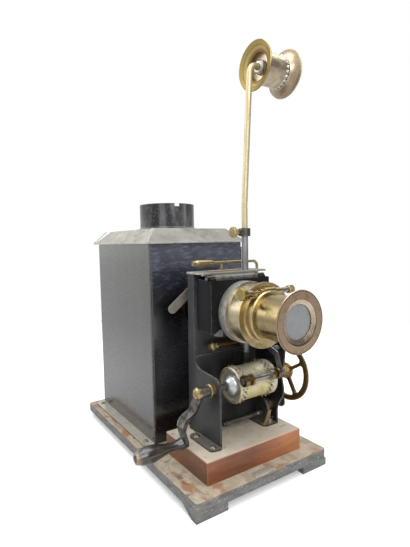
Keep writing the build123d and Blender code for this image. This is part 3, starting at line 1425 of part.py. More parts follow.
def lens_mount():
    """Stepped rings, collar and pinion bridge that carry the sliding barrel."""
    bore = BARREL_RADIUS + RUNNING_FIT
    front = BOARD_FRONT
    profile = [
        (COLLAR_FRONT, bore),
        (COLLAR_FRONT, 20.0),
        (COLLAR_FRONT + 0.6, 20.6),
        (COLLAR_FRONT + 1.1, 20.1),
        (COLLAR_FRONT + 1.7, 20.6),
        (COLLAR_FRONT + 2.3, 20.1),
        (COLLAR_BACK - 2.2, 20.6),
        (COLLAR_BACK - 1.5, 22.5),
        (COLLAR_BACK - 1.5, COLLAR_FLANGE_RADIUS),
        (COLLAR_BACK, COLLAR_FLANGE_RADIUS),
        (COLLAR_BACK, RING_RADIUS - 1.5),
        (front + 29.0, RING_RADIUS - 1.5),
        (front + 29.0, RING_RADIUS),
        (BOX_FRONT, RING_RADIUS),
        (BOX_FRONT, 20.0),
        (COLLAR_BACK + 8, 20.0),
        (COLLAR_BACK + 8, bore),
    ]
    mount = turned(profile, "Y", (OPTICAL_X, 0, OPTICAL_Z))
    mount += pinion_bridge()
    pocket = FOCUS_MODULE * (FOCUS_TEETH + 2) / 2 + SLIDING_GAP
    mount -= rod("X", OPTICAL_X - 2.4, OPTICAL_X + 2.4, (0, FOCUS_Y, FOCUS_Z), pocket)
    hole = FOCUS_SHAFT_RADIUS + RUNNING_FIT
    mount -= rod("X", OPTICAL_X - 30, OPTICAL_X + 30, (0, FOCUS_Y, FOCUS_Z), hole)
    return mount - rod("Y", COLLAR_FRONT - 1, COLLAR_BACK + 8, (OPTICAL_X, 0, OPTICAL_Z), bore)


def pinion_bridge():
    """Cover over the focusing pinion with a long tapered wing and a boss."""
    low = OPTICAL_Z + BARREL_RADIUS
    saddle = block(OPTICAL_X - 5, OPTICAL_X + 6, COLLAR_FRONT + 1.2, COLLAR_BACK - 1.5, low, FOCUS_Z + 3.6)
    saddle = fillet(saddle.edges().filter_by(Axis.X).sort_by(Axis.Z)[-2:], 2.5)
    wing = outline(
        [
            (OPTICAL_X - 21.2, FOCUS_Y - 4.6),
            (OPTICAL_X - 21.2, FOCUS_Y + 2.4),
            (OPTICAL_X - 4, FOCUS_Y + 2.4),
            (OPTICAL_X - 4, FOCUS_Y - 2.4),
        ],
        [1.0, 1.0, 0, 0],
    )
    plate = plate_z(wing, FOCUS_Z - 3.4, FOCUS_Z - 2.2)
    boss = rod("X", OPTICAL_X - 8, OPTICAL_X + 12.8, (0, FOCUS_Y, FOCUS_Z), 2.7)
    return saddle + plate + boss


def focus_pinion():
    """Spindle with its pinion, a smooth knob on the left and a small milled one on the right."""
    shaft_start = OPTICAL_X - 27.5
    shaft_end = OPTICAL_X + 29.0
    profile = [
        (shaft_start, 0),
        (shaft_start, 4.4),
        (shaft_start + 0.6, 5.0),
        (shaft_start + 4.4, 5.0),
        (shaft_start + 5.0, 4.4),
        (shaft_start + 5.4, 2.2),
        (OPTICAL_X - 16, 2.2),
        (OPTICAL_X - 16, FOCUS_SHAFT_RADIUS),
        (OPTICAL_X + 13.2, FOCUS_SHAFT_RADIUS),
        (OPTICAL_X + 13.2, 2.2),
        (shaft_end - 7, 2.2),
        (shaft_end - 7, 3.0),
        (shaft_end - 1, 3.0),
        (shaft_end, 1.6),
        (shaft_end, 0),
    ]
    spindle = turned(profile, "X", (0, FOCUS_Y, FOCUS_Z))
    wheel = gear_outline(FOCUS_TEETH, FOCUS_MODULE, TOOTH_SHARE, 270 + 180 / FOCUS_TEETH)
    pinion = extrude(Plane.YZ.offset(OPTICAL_X - RACK_HALF_WIDTH) * wheel, amount=2 * RACK_HALF_WIDTH)
    return spindle + Pos(0, FOCUS_Y, FOCUS_Z) * pinion


def focus_rack():
    """Toothed bar let into the top of the barrel, a tooth under the pinion's middle."""
    pitch = math.pi * FOCUS_MODULE
    tip = OPTICAL_Z + RACK_TIP
    root = tip - 2.3 * FOCUS_MODULE
    count = 13
    start = FOCUS_Y - count / 2 * pitch
    bar = block(
        OPTICAL_X - RACK_HALF_WIDTH,
        OPTICAL_X + RACK_HALF_WIDTH,
        start,
        start + count * pitch,
        root - 0.9,
        tip,
    )
    gap = make_face(
        Polyline(
            (-pitch * 0.24 - 0.12, root),
            (pitch * 0.24 + 0.12, root),
            (pitch * 0.24 + 0.34, tip + 0.1),
            (-pitch * 0.24 - 0.34, tip + 0.1),
            close=True,
        )
    )
    gaps = []
    for k in range(count + 1):
        cut = plate_x(gap, OPTICAL_X - RACK_HALF_WIDTH - 1, OPTICAL_X + RACK_HALF_WIDTH + 1)
        gaps.append(Pos(0, start + k * pitch, 0) * cut)
    return bar - gaps


def lens_barrel():
    """Sliding brass barrel with its flared front flange, lens seats and rack."""
    front = BARREL_FRONT
    back = front + BARREL_LENGTH
    inner = BARREL_RADIUS - BARREL_WALL
    profile = [
        (front - 1.2, 17.5),
        (front - 1.2, LENS_FLANGE_RADIUS - 0.4),
        (front - 0.6, LENS_FLANGE_RADIUS),
        (front + 0.2, LENS_FLANGE_RADIUS - 0.6),
        (front + 0.8, 19.6),
        (front + 2.4, BARREL_RADIUS),
        (back, BARREL_RADIUS),
        (back, inner - 1.0),
        (back - 6, inner - 1.0),
        (back - 6, inner),
        (front + 5.5, inner),
        (front + 5.5, LENS_CLEAR_RADIUS + 0.9),
        (front + 1.6, LENS_CLEAR_RADIUS + 0.9),
        (front + 1.6, LENS_CLEAR_RADIUS),
        (front + 0.6, LENS_CLEAR_RADIUS),
    ]
    barrel = turned(profile, "Y", (OPTICAL_X, 0, OPTICAL_Z))
    rack = focus_rack()
    box = rack.bounding_box()
    groove = block(
        OPTICAL_X - RACK_HALF_WIDTH,
        OPTICAL_X + RACK_HALF_WIDTH,
        box.min.Y,
        box.max.Y,
        box.min.Z + 0.01,
        OPTICAL_Z + BARREL_RADIUS + 1,
    )
    return barrel - groove + rack


def lens_glasses():
    """Front and back glasses of the projection lens."""
    front = lens_glass(BARREL_FRONT + 1.6, LENS_CLEAR_RADIUS + 0.9, 2.0, 3.4, 1)
    back = lens_glass(BARREL_FRONT + BARREL_LENGTH - 1.0, BARREL_RADIUS - BARREL_WALL - 1.0, 1.6, 4.0, -1)
    return Compound([front, back])


# Douser behind the gate

DOUSER_PIN_RADIUS = 1.2
DOUSER_X = -18.0
DOUSER_Z = 155.7
DOUSER_Y = BOARD_FRONT + 80.0


def douser_post():
    """Shouldered pin on the back plate that the douser swings on."""
    post = rod("Y", GATE_Y + SHEET, DOUSER_Y + 2.2, (DOUSER_X, 0, DOUSER_Z), DOUSER_PIN_RADIUS)
    return post + rod("Y", DOUSER_Y + 1.5, DOUSER_Y + 2.4, (DOUSER_X, 0, DOUSER_Z), 2.4)


def douser():
    """Swinging flag that shuts the light off the film, with its finger piece on the left."""
    finger_angle = 217.6
    finger_reach = 25.2
    turn = math.radians(finger_angle)
    tip = (DOUSER_X + finger_reach * math.cos(turn), DOUSER_Z + finger_reach * math.sin(turn))
    finger = capsule(DOUSER_X, DOUSER_Z, tip[0], tip[1], 4.0)
    neck = capsule(DOUSER_X, DOUSER_Z, OPTICAL_X, OPTICAL_Z, 4.0)
    flag = Pos(OPTICAL_X, OPTICAL_Z) * Circle(15.5)
    blade = plate_y(finger + neck + flag, DOUSER_Y, DOUSER_Y + 1.2)
    blade += rod("Y", GATE_Y + SHEET + SLIDING_GAP, DOUSER_Y, (DOUSER_X, 0, DOUSER_Z), 3.0)
    bore = DOUSER_PIN_RADIUS + RUNNING_FIT
    return blade - rod("Y", GATE_Y, DOUSER_Y + 4, (DOUSER_X, 0, DOUSER_Z), bore)


# Reel arm and reel

def reel_arm():
    """Long brass rod, upright in its tube and bent over at the top into the reel's bore."""
    path_points = [
        (TUBE_X, TUBE_Y, ARM_ROD_BOTTOM),
        (TUBE_X, TUBE_Y, CLAMP_TOP + 20),
        (27.6, REEL_Y, REEL_Z),
        (REEL_RIGHT_X + 1.5, REEL_Y, REEL_Z),
    ]
    rod_body = bent_rod(path_points, [60.0, 7.0], ARM_ROD_RADIUS)
    return rod_body + reel_nut()


def feed_reel():
    """Brass bobbin with trumpet flanges, a stout core and a milled band at its right."""
    bore = ARM_ROD_RADIUS + RUNNING_FIT
    left = REEL_LEFT_X
    right = REEL_RIGHT_X
    lines = [
        Line((left + 9, bore), (left + 9, 11.0)),
        Line((left + 9, 11.0), (left + 4.2, 12.2)),
        Line((left + 4.2, 12.2), (left + 3.6, 13.6)),
        ThreePointArc((left + 3.6, 13.6), (left + 2.0, 17.2), (left, REEL_RADIUS - 0.4)),
        Line((left, REEL_RADIUS - 0.4), (left + 0.6, REEL_RADIUS)),
        Line((left + 0.6, REEL_RADIUS), (left + 1.4, REEL_RADIUS - 0.3)),
        ThreePointArc((left + 1.4, REEL_RADIUS - 0.3), (left + 3.6, 17.0), (left + 7.5, REEL_CORE)),
        Line((left + 7.5, REEL_CORE), (right - 7.5, REEL_CORE)),
        ThreePointArc((right - 7.5, REEL_CORE), (right - 3.6, 17.0), (right - 1.4, REEL_RADIUS - 0.3)),
        Line((right - 1.4, REEL_RADIUS - 0.3), (right - 0.6, REEL_RADIUS)),
        Line((right - 0.6, REEL_RADIUS), (right, REEL_RADIUS - 0.4)),
        ThreePointArc((right, REEL_RADIUS - 0.4), (right - 2.0, 17.2), (right - 3.6, 13.6)),
        Line((right - 3.6, 13.6), (right - 3.6, bore)),
        Line((right - 3.6, bore), (left + 9, bore)),
    ]
    return turned_lines(lines, "X", (0, REEL_Y, REEL_Z))


def reel_nut():
    """Domed head, riveted on the end of the spindle, that keeps the reel on."""
    start = REEL_RIGHT_X - 3.4
    profile = [(start, ARM_ROD_RADIUS), (start, 4.6), (start + 3, 4.6), (start + 5.2, 2.6), (start + 5.6, 0)]
    profile += [(REEL_RIGHT_X + 1.5, 0), (REEL_RIGHT_X + 1.5, ARM_ROD_RADIUS)]
    return turned(profile, "X", (0, REEL_Y, REEL_Z))


PIECES = {
    "base_board": base_board,
    "front_feet": front_feet,
    "rear_feet": rear_feet,
    "mechanism_block": mechanism_block,
    "lamphouse_body": lamphouse_body,
    "condenser_cell": condenser_cell,
    "condenser_lenses": condenser_lenses,
    "door_hinge": door_hinge,
    "rear_door": rear_door,
    "door_knob": door_knob,
    "lid": lid,
    "chimney": chimney,
    "oil_font": oil_font,
    "burner": burner,
    "lamp_glass": lamp_glass,
    "reflector": reflector,
    "wick_wheel": wick_wheel,
    "left_cheek": left_cheek,
    "right_cheek": right_cheek,
    "wood_screws": wood_screws,
    "wing_nut": wing_nut,
    "back_plate": back_plate,
    "aperture_plate": aperture_plate,
    "gate_frame": gate_frame,
    "gate_springs": gate_springs,
    "top_shelf": top_shelf,
    "gate_hinge": gate_hinge,
    "top_guide_rod": top_guide_rod,
    "guide_sleeve": guide_sleeve,
    "arm_tube": arm_tube,
    "tube_bracket": tube_bracket,
    "arm_clamp": arm_clamp,
    "thumb_screw": thumb_screw,
    "shaft_bushes": shaft_bushes,
    "film_stripper": film_stripper,
    "main_shaft": main_shaft,
    "crank_arm": crank_arm,
    "crank_screw": crank_screw,
    "crank_handle": crank_handle,
    "sprocket_drum": sprocket_drum,
    "sprocket_teeth": sprocket_teeth,
    "drum_cap": drum_cap,
    "drive_gear": drive_gear,
    "beater_shaft": beater_shaft,
    "beater_roller": beater_roller,
    "beater_pinion": beater_pinion,
    "roller_arm": roller_arm,
    "guide_roller": guide_roller,
    "arm_spring": arm_spring,
    "framing_spring": framing_spring,
    "framing_knob": framing_knob,
    "gate_box": gate_box,
    "gate_catch": gate_catch,
    "lens_mount": lens_mount,
    "focus_pinion": focus_pinion,
    "lens_barrel": lens_barrel,
    "lens_glasses": lens_glasses,
    "douser": douser,
    "reel_arm": reel_arm,
    "feed_reel": feed_reel,
}


def main():
    """Write every piece as its own file."""
    os.makedirs("parts", exist_ok=True)
    for name, build in PIECES.items():
        piece = build()
        piece.label = name
        export_step(piece, f"parts/{name}.step")
        print(name, round(piece.volume, 1))


if __name__ == "__main__":
    main()
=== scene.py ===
import itertools
import logging
import math
from dataclasses import dataclass
from enum import Enum
from typing import Any, Iterable, Optional, Sequence, Union

import bmesh
import bpy
from mathutils import Matrix, Vector


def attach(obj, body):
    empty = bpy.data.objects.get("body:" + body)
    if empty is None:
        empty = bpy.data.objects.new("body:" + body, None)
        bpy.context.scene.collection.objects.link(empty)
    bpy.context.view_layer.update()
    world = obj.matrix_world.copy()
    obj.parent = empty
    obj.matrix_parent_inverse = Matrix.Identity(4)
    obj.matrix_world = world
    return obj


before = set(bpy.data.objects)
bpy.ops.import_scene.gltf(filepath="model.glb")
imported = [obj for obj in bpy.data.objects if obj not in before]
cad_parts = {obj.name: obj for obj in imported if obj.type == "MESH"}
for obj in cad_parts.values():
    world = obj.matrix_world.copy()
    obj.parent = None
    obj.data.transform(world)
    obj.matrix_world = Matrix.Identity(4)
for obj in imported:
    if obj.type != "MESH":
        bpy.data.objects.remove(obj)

LOG = logging.getLogger("cinematograph")
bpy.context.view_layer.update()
MM = 0.001
Point = tuple[float, float, float]
Socket = bpy.types.NodeSocket
Paint = Union[str, Socket]
Shape = bmesh.types.BMesh

# Directions in the part's frame: the crank stands to the left and the lens points to the front
UP, FRONT, LEFT = (0.0, 0.0, 1.0), (0.0, -1.0, 0.0), (-1.0, 0.0, 0.0)
# Axes that several groups share, in millimetres
LIGHT_AXIS: Point = (7.5, 0.0, 139.0)
MAIN_SHAFT: Point = (0.0, -81.0, 79.0)


class Axis(Enum):
    """Direction that a piece is turned about or laid along."""

    X = (1.0, 0.0, 0.0)
    Y = (0.0, 1.0, 0.0)
    Z = (0.0, 0.0, 1.0)

    @property
    def frame(self) -> Matrix:
        """Rotation that carries +Z onto the axis."""
        return Vector(self.value).to_track_quat("Z", "Y").to_matrix().to_4x4()


def linear(code: str) -> tuple[float, float, float, float]:
    """Turns an sRGB hex colour into the linear values that a shader takes.

    Args:
        code: Colour as #rrggbb.

    Returns:
        Linear red, green, blue and an alpha of 1.
    """
    channels = [int(code[i:i + 2], 16) / 255 for i in (1, 3, 5)]
    # The curve of the sRGB standard: a straight foot, then a power
    red, green, blue = (c / 12.92 if c <= 0.04045 else ((c + 0.055) / 1.055) ** 2.4 for c in channels)
    return red, green, blue, 1.0


def add_node(tree: bpy.types.NodeTree, kind: str, settings: dict, output: Union[int, str] = 0) -> Any:
    """Adds a node with its settings and links.

    Args:
        tree: Node tree that takes the node.
        kind: Blender's name of the node type.
        settings: A lower-case key is a property of the node. Any other key is an input, and its
            value is a socket to link, a hex colour or a plain value.
        output: Which output to hand back.

    Returns:
        The chosen output socket, or None for a node without outputs.
    """
    node = tree.nodes.new(kind)
    for key, value in settings.items():
        if isinstance(key, str) and key.islower():
            setattr(node, key, value)
        elif isinstance(value, Socket):
            tree.links.new(value, node.inputs[key])
        else:
            node.inputs[key].default_value = linear(value) if isinstance(value, str) else value
    return node.outputs[output] if len(node.outputs) else None


class Surface:
    """One material while it is laid up, measured in millimetres on the piece itself."""

    def __init__(self, tree: bpy.types.NodeTree) -> None:
        """Starts from an empty tree with the piece's own coordinates and normal."""
        self.tree = tree
        tree.nodes.clear()
        self.place = self.add("ShaderNodeTexCoord", {}, "Object")
        self.facing = self.add("ShaderNodeTexCoord", {}, "Normal")

    def add(self, kind: str, settings: dict, output: Union[int, str] = 0) -> Any:
        """Adds one node to this surface and hands back an output."""
        return add_node(self.tree, kind, settings, output)

    def patches(
        self, size: float, low: float = 0.35, high: float = 0.65, stretch: Point = (1.0, 1.0, 1.0),
        seed: float = 0.0, rest: float = 0.0, place: Optional[Socket] = None, detail: float = 4.0,
    ) -> Socket:
        """Irregular soft-edged patches.

        Args:
            size: Distance between patches in millimetres.
            low: Noise value that is still bare.
            high: Noise value that is fully covered.
            stretch: How much closer the patches lie along each axis.
            seed: Picks another layout.
            rest: Value of the mask where it is bare.
            place: Coordinates to use in place of the piece's own.
            detail: Octaves of finer grain.

        Returns:
            A mask from the rest value to 1.
        """
        steps = tuple(part / (size * MM) for part in stretch)
        spot = self.add("ShaderNodeVectorMath", {"operation": "MULTIPLY", 0: place or self.place, 1: steps})
        field = {"noise_dimensions": "4D", "Vector": spot, "W": seed, "Scale": 1.0, "Detail": detail}
        noise = self.add("ShaderNodeTexNoise", field)
        ends = {"Value": noise, "From Min": low, "From Max": high, "To Min": rest}
        return self.add("ShaderNodeMapRange", {"interpolation_type": "SMOOTHSTEP", **ends})

    def slope(self, source: Socket, direction: Point, low: float, high: float) -> Socket:
        """Mask that grows as a vector turns towards, or moves along, a direction.

        Args:
            source: The piece's place, or the way its surface faces.
            direction: Direction in the piece's own frame.
            low: Reach along the direction that is still bare.
            high: Reach that is fully covered.

        Returns:
            A mask from 0 to 1.
        """
        dot = {"operation": "DOT_PRODUCT", 0: source, 1: direction}
        reach = self.add("ShaderNodeVectorMath", dot, "Value")
        ends = {"Value": reach, "From Min": low, "From Max": high}
        return self.add("ShaderNodeMapRange", {"interpolation_type": "SMOOTHSTEP", **ends})

    def towards(self, direction: Point, low: float = 0.5, high: float = 0.9) -> Socket:
        """Mask of the faces that look in a direction of the piece's own frame."""
        return self.slope(self.facing, direction, low, high)

    def along(self, direction: Point, start: float, end: float) -> Socket:
        """Mask that grows from a start to an end, in millimetres along a direction."""
        return self.slope(self.place, direction, start * MM, end * MM)

    def around(self, axis: Axis, centre: Point) -> Socket:
        """Coordinates of lathe work: distance along the axis and out from it."""
        middle = tuple(value * MM for value in centre)
        across = tuple(1.0 - value for value in axis.value)
        offset = self.add("ShaderNodeVectorMath", {"operation": "SUBTRACT", 0: self.place, 1: middle})
        dot = {"operation": "DOT_PRODUCT", 0: offset, 1: axis.value}
        depth = self.add("ShaderNodeVectorMath", dot, "Value")
        flat = self.add("ShaderNodeVectorMath", {"operation": "MULTIPLY", 0: offset, 1: across})
        reach = self.add("ShaderNodeVectorMath", {"operation": "LENGTH", 0: flat}, "Value")
        return self.add("ShaderNodeCombineXYZ", {"X": depth, "Y": reach})

    def lay(self, ground: Paint, *coats: tuple) -> Paint:
        """Lays colours over a ground, one over the other.

        Args:
            ground: Colour below them all, as hex or a socket.
            coats: For each its colour, how thickly it lies where every mask is 1, and the masks
                that all have to allow it.

        Returns:
            The colour seen.
        """
        colour = ground
        for over, share, *masks in coats:
            for mask in masks:
                share = self.add("ShaderNodeMath", {"operation": "MULTIPLY", 0: mask, 1: share})
            # Inputs 6 and 7 and output 2 are the colours of this node
            colour = self.add("ShaderNodeMix", {"data_type": "RGBA", 0: share, 6: colour, 7: over}, 2)
        return colour

    def worn_edges(self, width: float) -> Socket:
        """Mask of the corners within a width in millimetres."""
        flat, corner = 0.995, 0.93
        eased = self.add("ShaderNodeBevel", {"samples": 4, "Radius": width * MM})
        true = self.add("ShaderNodeNewGeometry", {}, "Normal")
        dot = self.add("ShaderNodeVectorMath", {"operation": "DOT_PRODUCT", 0: eased, 1: true}, "Value")
        return self.add("ShaderNodeMapRange", {"Value": dot, "From Min": flat, "From Max": corner})

    def shade(
        self, colour: Paint, gloss: tuple[Socket, float, float], relief: tuple[Socket, float],
        others: Optional[dict] = None,
    ) -> None:
        """Ends the surface with its shader.

        Args:
            colour: Colour of the surface.
            gloss: A mask, and the roughness where it is 0 and where it is 1.
            relief: A height mask and how many millimetres deep it is.
            others: Further settings of the shader.
        """
        mask, least, most = gloss
        height, depth = relief
        rough = self.add("ShaderNodeMapRange", {"Value": mask, "To Min": least, "To Max": most})
        normal = self.add("ShaderNodeBump", {"Distance": depth * MM, "Height": height})
        settings = {"Base Color": colour, "Roughness": rough, "Normal": normal, **(others or {})}
        shader = self.add("ShaderNodeBsdfPrincipled", settings)
        self.add("ShaderNodeOutputMaterial", {"Surface": shader})


@dataclass(frozen=True)
class Finish:
    """A real material with the way its surface was made."""

    name: str

    def material(self) -> bpy.types.Material:
        """Builds the material the first time and hands back the same one later."""
        ready = bpy.data.materials.get(self.name)
        if ready is None:
            ready = bpy.data.materials.new(self.name)
            ready.use_nodes = True
            self.lay_up(Surface(ready.node_tree))
        return ready

    def lay_up(self, s: Surface) -> None:
        """Lays the colour, gloss and relief of the finish."""
        raise NotImplementedError


@dataclass(frozen=True)
class JapannedSheet(Finish):
    """Sheet iron with stoved black japan, hand-worn: satin black, thin dust, iron at the corners."""

    enamel: str = "#101012"
    haze: str = "#555b6a"
    haze_share: float = 0.12
    dust: str = "#8f877b"
    iron: str = "#a09a90"
    roughness: float = 0.4
    sheen: float = 0.4

    def lay_up(self, s: Surface) -> None:
        """Black enamel, wiped haze, dust on what faces up, and bright corners."""
        upright = (1.0, 1.0, 0.3)
        film = s.patches(22, 0.42, 0.68, upright)
        settled = s.patches(5.0, 0.3, 0.7, seed=17.0, rest=0.6)
        colour = s.lay(
            self.enamel,
            (self.haze, self.haze_share, film),
            (self.haze, self.haze_share * 0.5, s.patches(3.0, 0.4, 0.75, upright, 3.0)),
            (self.iron, 0.12, s.patches(1.8, 0.62, 0.7, seed=31.0)),
            (self.dust, 0.5, settled, s.towards(UP, 0.45, 0.95)),
            (self.iron, 0.6, s.worn_edges(0.4), s.patches(2.2, 0.35, 0.6, seed=7.0)),
        )
        # Brushed-on japan keeps a faint orange peel about 1.5 mm across
        peel = s.patches(1.5, 0.0, 1.0, detail=1.0)
        gloss = (film, self.roughness, self.roughness + 0.16)
        s.shade(colour, gloss, (peel, 0.012), {"Specular IOR Level": self.sheen})


@dataclass(frozen=True)
class LampHouseSheet(Finish):
    """Black japan stoved on tinplate: a deep gloss that mirrors the room at a slant, blued by the lamp."""

    enamel: str = "#0b0b0c"
    # Grey laid as painted sheen on the side walls, in place of the room mirrored in their gloss
    painted_sheen: str = "#41413c"
    film: str = "#43444a"
    bloom: str = "#5c6480"
    streak: str = "#7d839a"
    soil: str = "#6d645c"
    # Lighter grey for a painted reflection: upright bands on the front in place of the room mirrored in the
    # gloss
    painted_reflection: str = "#3a3b42"
    dust: str = "#a9a294"
    iron: str = "#6f6a63"

    def lay_up(self, s: Surface) -> None:
        """Painted sheen on the side walls with painted shade at their foot, streaky blue bloom high on the
        front with a painted reflection, and a long soft gloss.
        """
        side, front = (s.towards(way, 0.6, 0.9) for way in (LEFT, FRONT))
        high = s.along(UP, 140, 205)
        # Upright patches that hold the painted sheen on the side walls
        rubbed = s.patches(30, 0.3, 0.75, (1.0, 1.6, 0.35), 4.0, rest=0.65, detail=2.0)
        haze = s.patches(34, 0.4, 0.7, (1.0, 1.0, 0.3), 41.0, detail=2.0)
        settled = s.patches(8, 0.3, 0.7, seed=43.0, rest=0.8)
        colour = s.lay(
            self.enamel,
            # Painted sheen: grey over the side walls in place of the room mirrored in the gloss
            (self.painted_sheen, 0.6, rubbed, side, s.along(UP, -40, 190)),
            (self.film, 0.55, haze, s.along(UP, 30, 130), front),
            (self.bloom, 0.3, high, front),
            (self.streak, 0.45, s.patches(3.5, 0.46, 0.7, (0.35, 1.0, 1.6), 37.0), high, front),
            (self.soil, 0.3, s.patches(4.0, 0.5, 0.75, (1.0, 1.0, 1.4), 9.0), high, front),
            # Painted reflection: lighter upright patches over the front
            (self.painted_reflection, 0.35, s.patches(30, 0.5, 0.75, (1.0, 1.0, 0.4), 23.0), front),
            # Painted shade: the enamel laid again near the foot of the side walls, darker towards the bottom
            (self.enamel, 0.55, s.along((0, 0, -1), -42, -18), side),
            (self.dust, 1.0, settled, s.towards(UP, 0.6, 0.95)),
            (self.iron, 0.6, s.worn_edges(0.6), s.patches(3.0, 0.35, 0.6, seed=7.0)),
        )
        # The stoved coat has a low orange peel about 2 mm across, which breaks up long reflections
        peel = s.patches(2.0, 0.0, 1.0, detail=1.0)
        streaks = s.patches(13, 0.42, 0.72, (1.0, 1.0, 2.6), 2.0)
        coat = {"Coat Weight": 0.7, "Coat Roughness": 0.16, "Coat IOR": 1.6}
        s.shade(colour, (streaks, 0.25, 0.3), (peel, 0.0012), {"Specular IOR Level": 0.8, **coat})


@dataclass(frozen=True)
class SootedSheet(Finish):
    """Chimney iron burnt by the lamp: black scale, grey bloom in upright runs and spots of rust."""

    scale: str = "#161616"
    bloom: str = "#84848a"
    rust: str = "#6a4433"
    iron: str = "#b0b0aa"

    def lay_up(self, s: Surface) -> None:
        """Upright runs of bloom over scale, with rust near the lip."""
        freckle = s.patches(2.2, 0.5, 0.72, seed=5.0)
        colour = s.lay(
            self.scale,
            (self.bloom, 0.55, s.patches(10, 0.4, 0.68, (1.0, 1.0, 0.22))),
            (self.bloom, 0.25, freckle),
            (self.rust, 0.5, s.patches(6, 0.58, 0.7, seed=11.0), s.along(UP, 222, 238)),
            (self.iron, 0.7, s.worn_edges(0.6)),
        )
        s.shade(colour, (freckle, 0.3, 0.5), (s.patches(1.2, 0.0, 1.0, detail=3.0), 0.02), {"Metallic": 0.15})


@dataclass(frozen=True)
class DustyPaint(Finish):
    """Painted sheet under a coat of settled dust, with rubbed and stained places."""

    paint: str = "#9d9b92"
    stain: str = "#4d4c48"
    pale: str = "#dad8cf"
    stain_share: float = 0.55

    def lay_up(self, s: Surface) -> None:
        """Even grey, cloudy stains, wiped pale streaks, painted shade on the front slope and pale corners."""
        grime = s.patches(26, 0.45, 0.62, seed=8.0)
        colour = s.lay(
            self.paint,
            (self.stain, self.stain_share * 0.7, s.patches(16, 0.45, 0.7, seed=1.0)),
            (self.stain, self.stain_share, s.patches(4, 0.5, 0.66, seed=6.0), grime),
            (self.pale, 0.45, s.patches(7, 0.52, 0.75, (0.3, 1.0, 1.0), 13.0)),
            # Painted shade: the stain colour on faces that look to the front darkens the front slope
            (self.stain, 0.45, s.towards(FRONT, 0.3, 0.7)),
            (self.pale, 0.8, s.worn_edges(0.7)),
        )
        s.shade(colour, (grime, 0.5, 0.75), (s.patches(0.8, 0.0, 1.0, detail=3.0), 0.015))


@dataclass(frozen=True)
class Band:
    """Part of a turned piece with its own colour, from a station along the axis, or a radius, outwards."""

    start: float
    metal: str


@dataclass(frozen=True)
class TurnedMetal(Finish):
    """Lathe-turned metal, handled for years: tool lines, brown tarnish in the hollows, bright corners."""

    metal: str = "#a8946c"
    tarnish: str = "#57452c"
    bright: str = "#ddd0a8"
    tarnish_share: float = 0.5
    roughness: float = 0.3
    axis: Axis = Axis.X
    centre: Point = (0.0, 0.0, 0.0)
    line: float = 0.7
    bands: tuple[Band, ...] = ()
    rings: tuple[Band, ...] = ()
    dust: str = "#d6d1c4"
    dust_share: float = 0.0

    def lay_up(self, s: Surface) -> None:
        """Metal by bands and rings, tool lines, tarnish, dust on what faces up, and rubbed edges."""
        turned = s.around(self.axis, self.centre)
        lines = s.patches(self.line, 0.3, 0.7, place=turned, detail=2.0)
        # Rings lie on the face that looks back along the axis
        back = tuple(-part for part in self.axis.value)
        colour: Paint = self.metal
        for ring in self.rings:
            rim = s.slope(turned, (0, 1, 0), (ring.start - 0.2) * MM, (ring.start + 0.2) * MM)
            colour = s.lay(colour, (ring.metal, 1.0, rim, s.towards(back)))
        for band in self.bands:
            station = s.along(self.axis.value, band.start - 0.05, band.start + 0.05)
            colour = s.lay(colour, (band.metal, 1.0, station))
        spots = s.patches(6.0, 0.46, 0.7, seed=2.0)
        specks = s.patches(1.6, 0.56, 0.74, seed=4.0, detail=1.0)
        settled = s.patches(4.0, 0.3, 0.6, seed=14.0)
        colour = s.lay(
            colour,
            (self.tarnish, self.tarnish_share, spots),
            (self.tarnish, self.tarnish_share * 0.35, specks),
            (self.tarnish, 0.2, lines),
            (self.dust, self.dust_share, settled, s.towards(UP, -0.5, 0.4)),
            (self.bright, 0.6, s.worn_edges(0.4)),
        )
        # Tool lines are drawn about three times as wide as real ones, so that they show
        gloss = (spots, self.roughness, self.roughness + 0.2)
        s.shade(colour, gloss, (lines, 0.004), {"Metallic": 1.0 - self.dust_share * 0.5})


@dataclass(frozen=True)
class PlainMetal(Finish):
    """Drawn, rolled or cast metal with a dull skin, scratches and rubbed corners."""

    metal: str = "#a7a8a6"
    skin: str = "#5f5d59"
    bright: str = "#d8d8d2"
    skin_share: float = 0.5
    roughness: float = 0.38
    metallic: float = 1.0
    grain: Point = (1.0, 1.0, 1.0)
    size: float = 3.0
    pitting: float = 0.012

    def lay_up(self, s: Surface) -> None:
        """Metal, dull skin in patches, scratches along the grain and bright corners."""
        skin = s.patches(self.size * 2.4, 0.4, 0.68, self.grain, 3.0)
        colour = s.lay(
            self.metal,
            (self.skin, self.skin_share, skin),
            (self.skin, self.skin_share * 0.7, s.patches(self.size * 0.4, 0.5, 0.72, self.grain, 8.0)),
            (self.bright, 0.6, s.worn_edges(0.35)),
        )
        pits = s.patches(self.size * 0.3, 0.0, 1.0, self.grain, detail=3.0)
        gloss = (skin, self.roughness, self.roughness + 0.2)
        s.shade(colour, gloss, (pits, self.pitting), {"Metallic": self.metallic})


